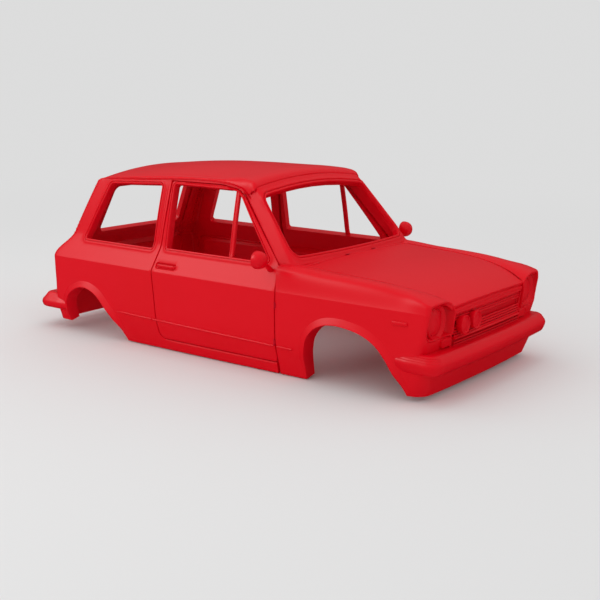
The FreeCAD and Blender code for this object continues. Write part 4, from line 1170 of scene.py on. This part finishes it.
bumper = {"half": 750, "corner": 80, "bulge": 18, "tuck": 13, "frontTip": frontAxle + 622,
          "rearTip": rearAxle - 495, "frontArm": frontAxle + 336, "rearArm": rearAxle - 203,
          "rearLift": -38}
section = [(280, -50, -112), (284, -44, -60), (283, -38, -42), (279, -32, -33), (262, -17, -17),
           (247, -6.5, -6.5), (240, -2.5, -2.5), (233, -0.4, -0.4), (226, 0, 0), (214, -2.4, -2.4),
           (196, -8.5, -8.5), (180, -16, -16), (173, -23, -23), (171, -34, -34), (174, -50, -60),
           (240, -52, -112)]
makeWrap("frontBumper", 1, bumperRows(bumper["frontTip"], 1, bumper["frontArm"], 0, section), trimRed,
         ["front_bumper"])
section = [(276, -50, -118), (279, -44, -70), (277, -40, -56), (270, -34, -44), (250, -22, -28),
           (234, -11, -13), (226, -5, -5), (219, -1.5, -1.5), (211, 0, 0), (200, -0.8, -0.8), (190, -4, -4),
           (181, -10, -10), (175, -20, -20), (174, -34, -34), (178, -50, -60), (240, -52, -118)]
makeWrap("rearBumper", -1, bumperRows(bumper["rearTip"], -1, bumper["rearArm"], bumper["rearLift"],
                                      section), trimRed, ["rear_bumper"])
for word, side in sides:
    for number, (z, sideIn) in enumerate(((271, -24), (260, -15.2), (248, -7))):
        path = planPath(1, bumper["half"] + sideIn, bumper["frontTip"] + sideIn, bumper["frontArm"] + 4,
                        bumper["corner"] + sideIn, bumper["bulge"], bumper["tuck"])[:22]
        path = np.column_stack([path[:, 0], -side * path[:, 1], np.full(len(path), float(z))])
        makeStrip("bumperLine%d_%s" % (number, word), "shell", path, (0, side * 0.7, 0.7),
                  halfRound(6, 2.8, 6), trimRed, taper=np.linspace(1, 0.2, len(path)))


def valanceRow(z, out):
    share = (z - 30) / 136
    half = float(sideY(1380, z)) - 1 + out
    return (z, half, frontAxle + 503 + 38 * share + out, 1366, 92 - 16 * share + out, 14, 0)


valance = ([(38, -7), (33, -4), (30.5, -1.6), (30.5, 0)]
           + [(z, 0) for z in (36, 50, 66, 84, 102, 120, 138, 155, 172)])
valance += [(172, -20), (120, -20), (60, -20), (38, -20)]
makeWrap("frontValance", 1, [valanceRow(z, out) for z, out in valance], shellRed, ["front_valance"])
print("bumpers and valance")


# Tail: surround, lid, panel and lamps share one sloping surface
def rearFace(u, v):
    start = tailStart(v)
    half = sideY(start, v)
    x = start - tailRound - tailBow * (1 - (u / (half - tailRound)) ** 2)
    return np.stack([x, u + 0 * v, v + 0 * u], 1)


tailHole = [(-490, 515, 40), (490, 515, 40), (452, 1025, 50), (-452, 1025, 50)]
rearGlass = [(-412, 657, 35), (412, 657, 35), (376, 977, 45), (-376, 977, 45)]
edge = [(seamY(z), z) for z in (509, 560, 600, 645, 700, 760, 820, 880, 940, 1000)]
surroundLoop = np.array([(-y, z) for y, z in edge[::-1]] + edge + [(505, 1022)]
                        + [(y, 1080 - 51 * (y / 500) ** 2) for y in np.linspace(450, -450, 19)]
                        + [(-505, 1022)])
surroundLoop = spaced(surroundLoop, 18, True)
makePanel("tailSurround", "shell", [surroundLoop, turned(roundedLoop(tailHole))], [rolled, rolled],
          np.arange(-540, 541, 30), np.arange(530, 1075, 24), rearFace, even(38), shellRed,
          ["tailgate_surround"])
around = spaced(turned(roundedLoop(tailHole)), 24, True)
path = rearFace(around[:, 0], around[:, 1]) + (48, 0, 0)
makeStrip("tailgateSeal", "shell", path, (-1, 0, -0.44), [(-26, -2), (26, -2), (26, 2), (-26, 2)], shellRed,
          closed=True)
for word, side in sides:
    z = np.linspace(70, 1005, 40)
    path = rearFace(np.array([side * seamY(k) for k in z]), z) + (16, 0, 0)
    makeStrip("tailSeal_" + word, "shell", path, (-1, 0, 0), backing, shellRed)
makePanel("tailgatePanel", "tailgate", [inset(tailHole, 7), turned(roundedLoop(rearGlass))],
          [rolled, framed], np.arange(-470, 471, 30),
          np.concatenate([np.arange(530, 650, 20), np.arange(660, 1020, 24)]), rearFace, even(38), shellRed,
          ["tailgate"])


def plateRecess(u, v):  # shallow field in the middle of the rear panel
    return -7 * ease(np.minimum(v - 300, 480 - v), 0, 12) * (1 - ease(np.abs(u), 300, 312))


rearLoop = spaced(np.array([(-563, 62), (563, 62), (563, 507), (-563, 507)], float), 20, True)
rearRows = [80, 110, 140, 170, 200, 240, 280, 320, 340, 345, 352, 400, 440, 480, 490, 496]
makePanel("rearPanel", "shell", [rearLoop], [rolled], np.arange(-540, 541, 28), rearRows, rearFace,
          even(40), shellRed, ["rear_panel"], relief=plateRecess)
for word, side in sides:
    block = [(side * y, z, r) for y, z, r in ((484, 360, 14), (660, 360, 18), (660, 486, 18),
                                              (484, 486, 14))]
    makePanel("tailLamp_" + word, "shell", [turned(roundedLoop(block, 8))],
              [[(0, 0), (0.5, 7), (1.8, 11), (4, 13), (8, 13.5), (10, 12), (13, 12), (15, 13.5)]],
              [side * y for y in np.arange(504, 645, 14)], [384, 400, 416, 430, 446, 462], rearFace,
              even(8), trimRed, ["tail_lamp_" + word],
              relief=lambda u, v: -2.5 * (np.abs((v - 423) % 24 - 12) < 3))
print("tail")

# Row of small louvres down the rear edge of each rear pillar
louvreTree, louvreInputs = louvreGroup()
rows = []
for word, side in sides:
    ends = [(x / 1000, side * (float(sideY(x, z)) - 2) / 1000, z / 1000)
            for x, z in ((-1133, 985), (-1276, 664))]
    values = {"Count": 14, "Start": ends[0], "End": ends[1], "Size": (0.022, 0.010, 0.012),
              "Turn": (0, 0.2, 0)}
    rows.append(grown("louvres", louvreTree, louvreInputs, values))
joined("pillarLouvres", rows, "shell", [])
print("louvres")


# Stage, light and camera

backdrop = {"seen": (0.72, 0.72, 0.72, 1), "bounced": (0.80, 0.80, 0.80, 1), "mirrored": (0, 0, 0, 1)}
floorMaterial = bpy.data.materials.new("studioFloor")
floorMaterial.use_nodes = True
tree = floorMaterial.node_tree
shader = tree.nodes["Principled BSDF"]
shader.inputs["Roughness"].default_value = 0.9
shader.inputs["Specular IOR Level"].default_value = 0.0
ray = tree.nodes.new("ShaderNodeLightPath")
tone = tree.nodes.new("ShaderNodeMix")
tone.data_type = "RGBA"
tone.inputs["A"].default_value = backdrop["bounced"]
tone.inputs["B"].default_value = backdrop["seen"]
tree.links.new(ray.outputs["Is Camera Ray"], tone.inputs["Factor"])
dim = tree.nodes.new("ShaderNodeMix")
dim.data_type = "RGBA"
dim.inputs["B"].default_value = backdrop["mirrored"]
tree.links.new(ray.outputs["Is Glossy Ray"], dim.inputs["Factor"])
tree.links.new(tone.outputs["Result"], dim.inputs["A"])
tree.links.new(dim.outputs["Result"], shader.inputs["Base Color"])
glow = tree.nodes.new("ShaderNodeEmission")
glow.inputs["Color"].default_value = backdrop["seen"]
where = tree.nodes.new("ShaderNodeTexCoord")
length = tree.nodes.new("ShaderNodeVectorMath")
length.operation = "LENGTH"
tree.links.new(where.outputs["Object"], length.inputs[0])
fade = tree.nodes.new("ShaderNodeMapRange")
fade.interpolation_type = "SMOOTHSTEP"
fade.inputs["From Min"].default_value = 2.5
fade.inputs["From Max"].default_value = 11.0
tree.links.new(length.outputs["Value"], fade.inputs["Value"])
share = tree.nodes.new("ShaderNodeMath")
share.operation = "MULTIPLY"
tree.links.new(fade.outputs["Result"], share.inputs[0])
tree.links.new(ray.outputs["Is Camera Ray"], share.inputs[1])
blend = tree.nodes.new("ShaderNodeMixShader")
tree.links.new(share.outputs[0], blend.inputs["Fac"])
tree.links.new(shader.outputs["BSDF"], blend.inputs[1])
tree.links.new(glow.outputs["Emission"], blend.inputs[2])
tree.links.new(blend.outputs["Shader"], tree.nodes["Material Output"].inputs["Surface"])
floorMesh = bpy.data.meshes.new("studioFloor")
floorHalf, floorHeight = 60, -0.002
floorCorners = [(x * floorHalf, y * floorHalf, floorHeight)
                for x, y in ((-1, -1), (1, -1), (1, 1), (-1, 1))]
floorMesh.from_pydata(floorCorners, [], [(0, 1, 2, 3)])
floorMesh.materials.append(floorMaterial)
floor = bpy.data.objects.new("studioFloor", floorMesh)
bpy.context.scene.collection.objects.link(floor)

# The world is plain to the camera, nearly even for soft light, and dark at the horizon in reflections
world = bpy.data.worlds.new("studio")
world.cycles.sampling_method = "NONE"
bpy.context.scene.world = world
world.use_nodes = True
tree = world.node_tree
plain = tree.nodes["Background"]
ray = tree.nodes.new("ShaderNodeLightPath")
where = tree.nodes.new("ShaderNodeTexCoord")
parts = tree.nodes.new("ShaderNodeSeparateXYZ")
tree.links.new(where.outputs["Generated"], parts.inputs["Vector"])


def rampUp(low, high, start, end):
    made = tree.nodes.new("ShaderNodeMapRange")
    for key, value in (("From Min", low), ("From Max", high), ("To Min", start), ("To Max", end)):
        made.inputs[key].default_value = value
    tree.links.new(parts.outputs["Z"], made.inputs["Value"])
    return made.outputs["Result"]


def choose(mask, first, second):
    made = tree.nodes.new("ShaderNodeMix")
    tree.links.new(ray.outputs[mask], made.inputs["Factor"])
    for key, source in (("A", first), ("B", second)):
        if isinstance(source, float):
            made.inputs[key].default_value = source
        else:
            tree.links.new(source, made.inputs[key])
    return made.outputs["Result"]


soft = rampUp(-0.2, 0.9, 0.86, 0.98)
gloss = rampUp(0.1, 0.9, 0.02, 0.7)
strength = choose("Is Camera Ray", choose("Is Glossy Ray", soft, gloss), 0.72)
tree.links.new(strength, plain.inputs["Strength"])
plain.inputs["Color"].default_value = (1, 1, 1, 1)


def softLamp(name, place, aim, across, watts):
    lamp = bpy.data.lights.new(name, "AREA")
    lamp.shape = "DISK"
    lamp.size = across
    lamp.energy = watts
    holder = bpy.data.objects.new(name, lamp)
    holder.location = place
    holder.rotation_euler = (Vector(aim) - Vector(place)).to_track_quat("-Z", "Y").to_euler()
    bpy.context.scene.collection.objects.link(holder)
    return holder


for lamp in (softLamp("overhead", (-1.0, -1.2, 6.5), (0, 0, 0.5), 6.0, 40),
             softLamp("sideFill", (-1.5, -7.0, 2.6), (0, 0, 0.6), 4.0, 60)):
    lamp.visible_glossy = False
shine = softLamp("shoulderShine", (-4.6, -5.0, 4.7), (0, 0, 0.6), 4.4, 330)
shine.visible_diffuse = False

view = {"place": (4.14285, -5.67841, 1.76975), "yaw": 125.212, "pitch": -12.044, "roll": 1.102,
        "lens": 64.8}
yaw, pitch, roll = (math.radians(view[key]) for key in ("yaw", "pitch", "roll"))
ahead = Vector((math.cos(pitch) * math.cos(yaw), math.cos(pitch) * math.sin(yaw), math.sin(pitch)))
right = ahead.cross(Vector((0, 0, 1))).normalized()
up = right.cross(ahead)
right, up = math.cos(roll) * right + math.sin(roll) * up, math.cos(roll) * up - math.sin(roll) * right
camera = bpy.data.objects.new("camera", bpy.data.cameras.new("camera"))
camera.data.lens = view["lens"]
camera.data.sensor_width = 36
camera.data.sensor_height = 36
camera.data.clip_end = 100
camera.matrix_world = Matrix(((right.x, up.x, -ahead.x, view["place"][0]),
                              (right.y, up.y, -ahead.y, view["place"][1]),
                              (right.z, up.z, -ahead.z, view["place"][2]), (0, 0, 0, 1)))
bpy.context.scene.collection.objects.link(camera)
bpy.context.scene.camera = camera
scene = bpy.context.scene
scene.view_settings.view_transform = "Standard"
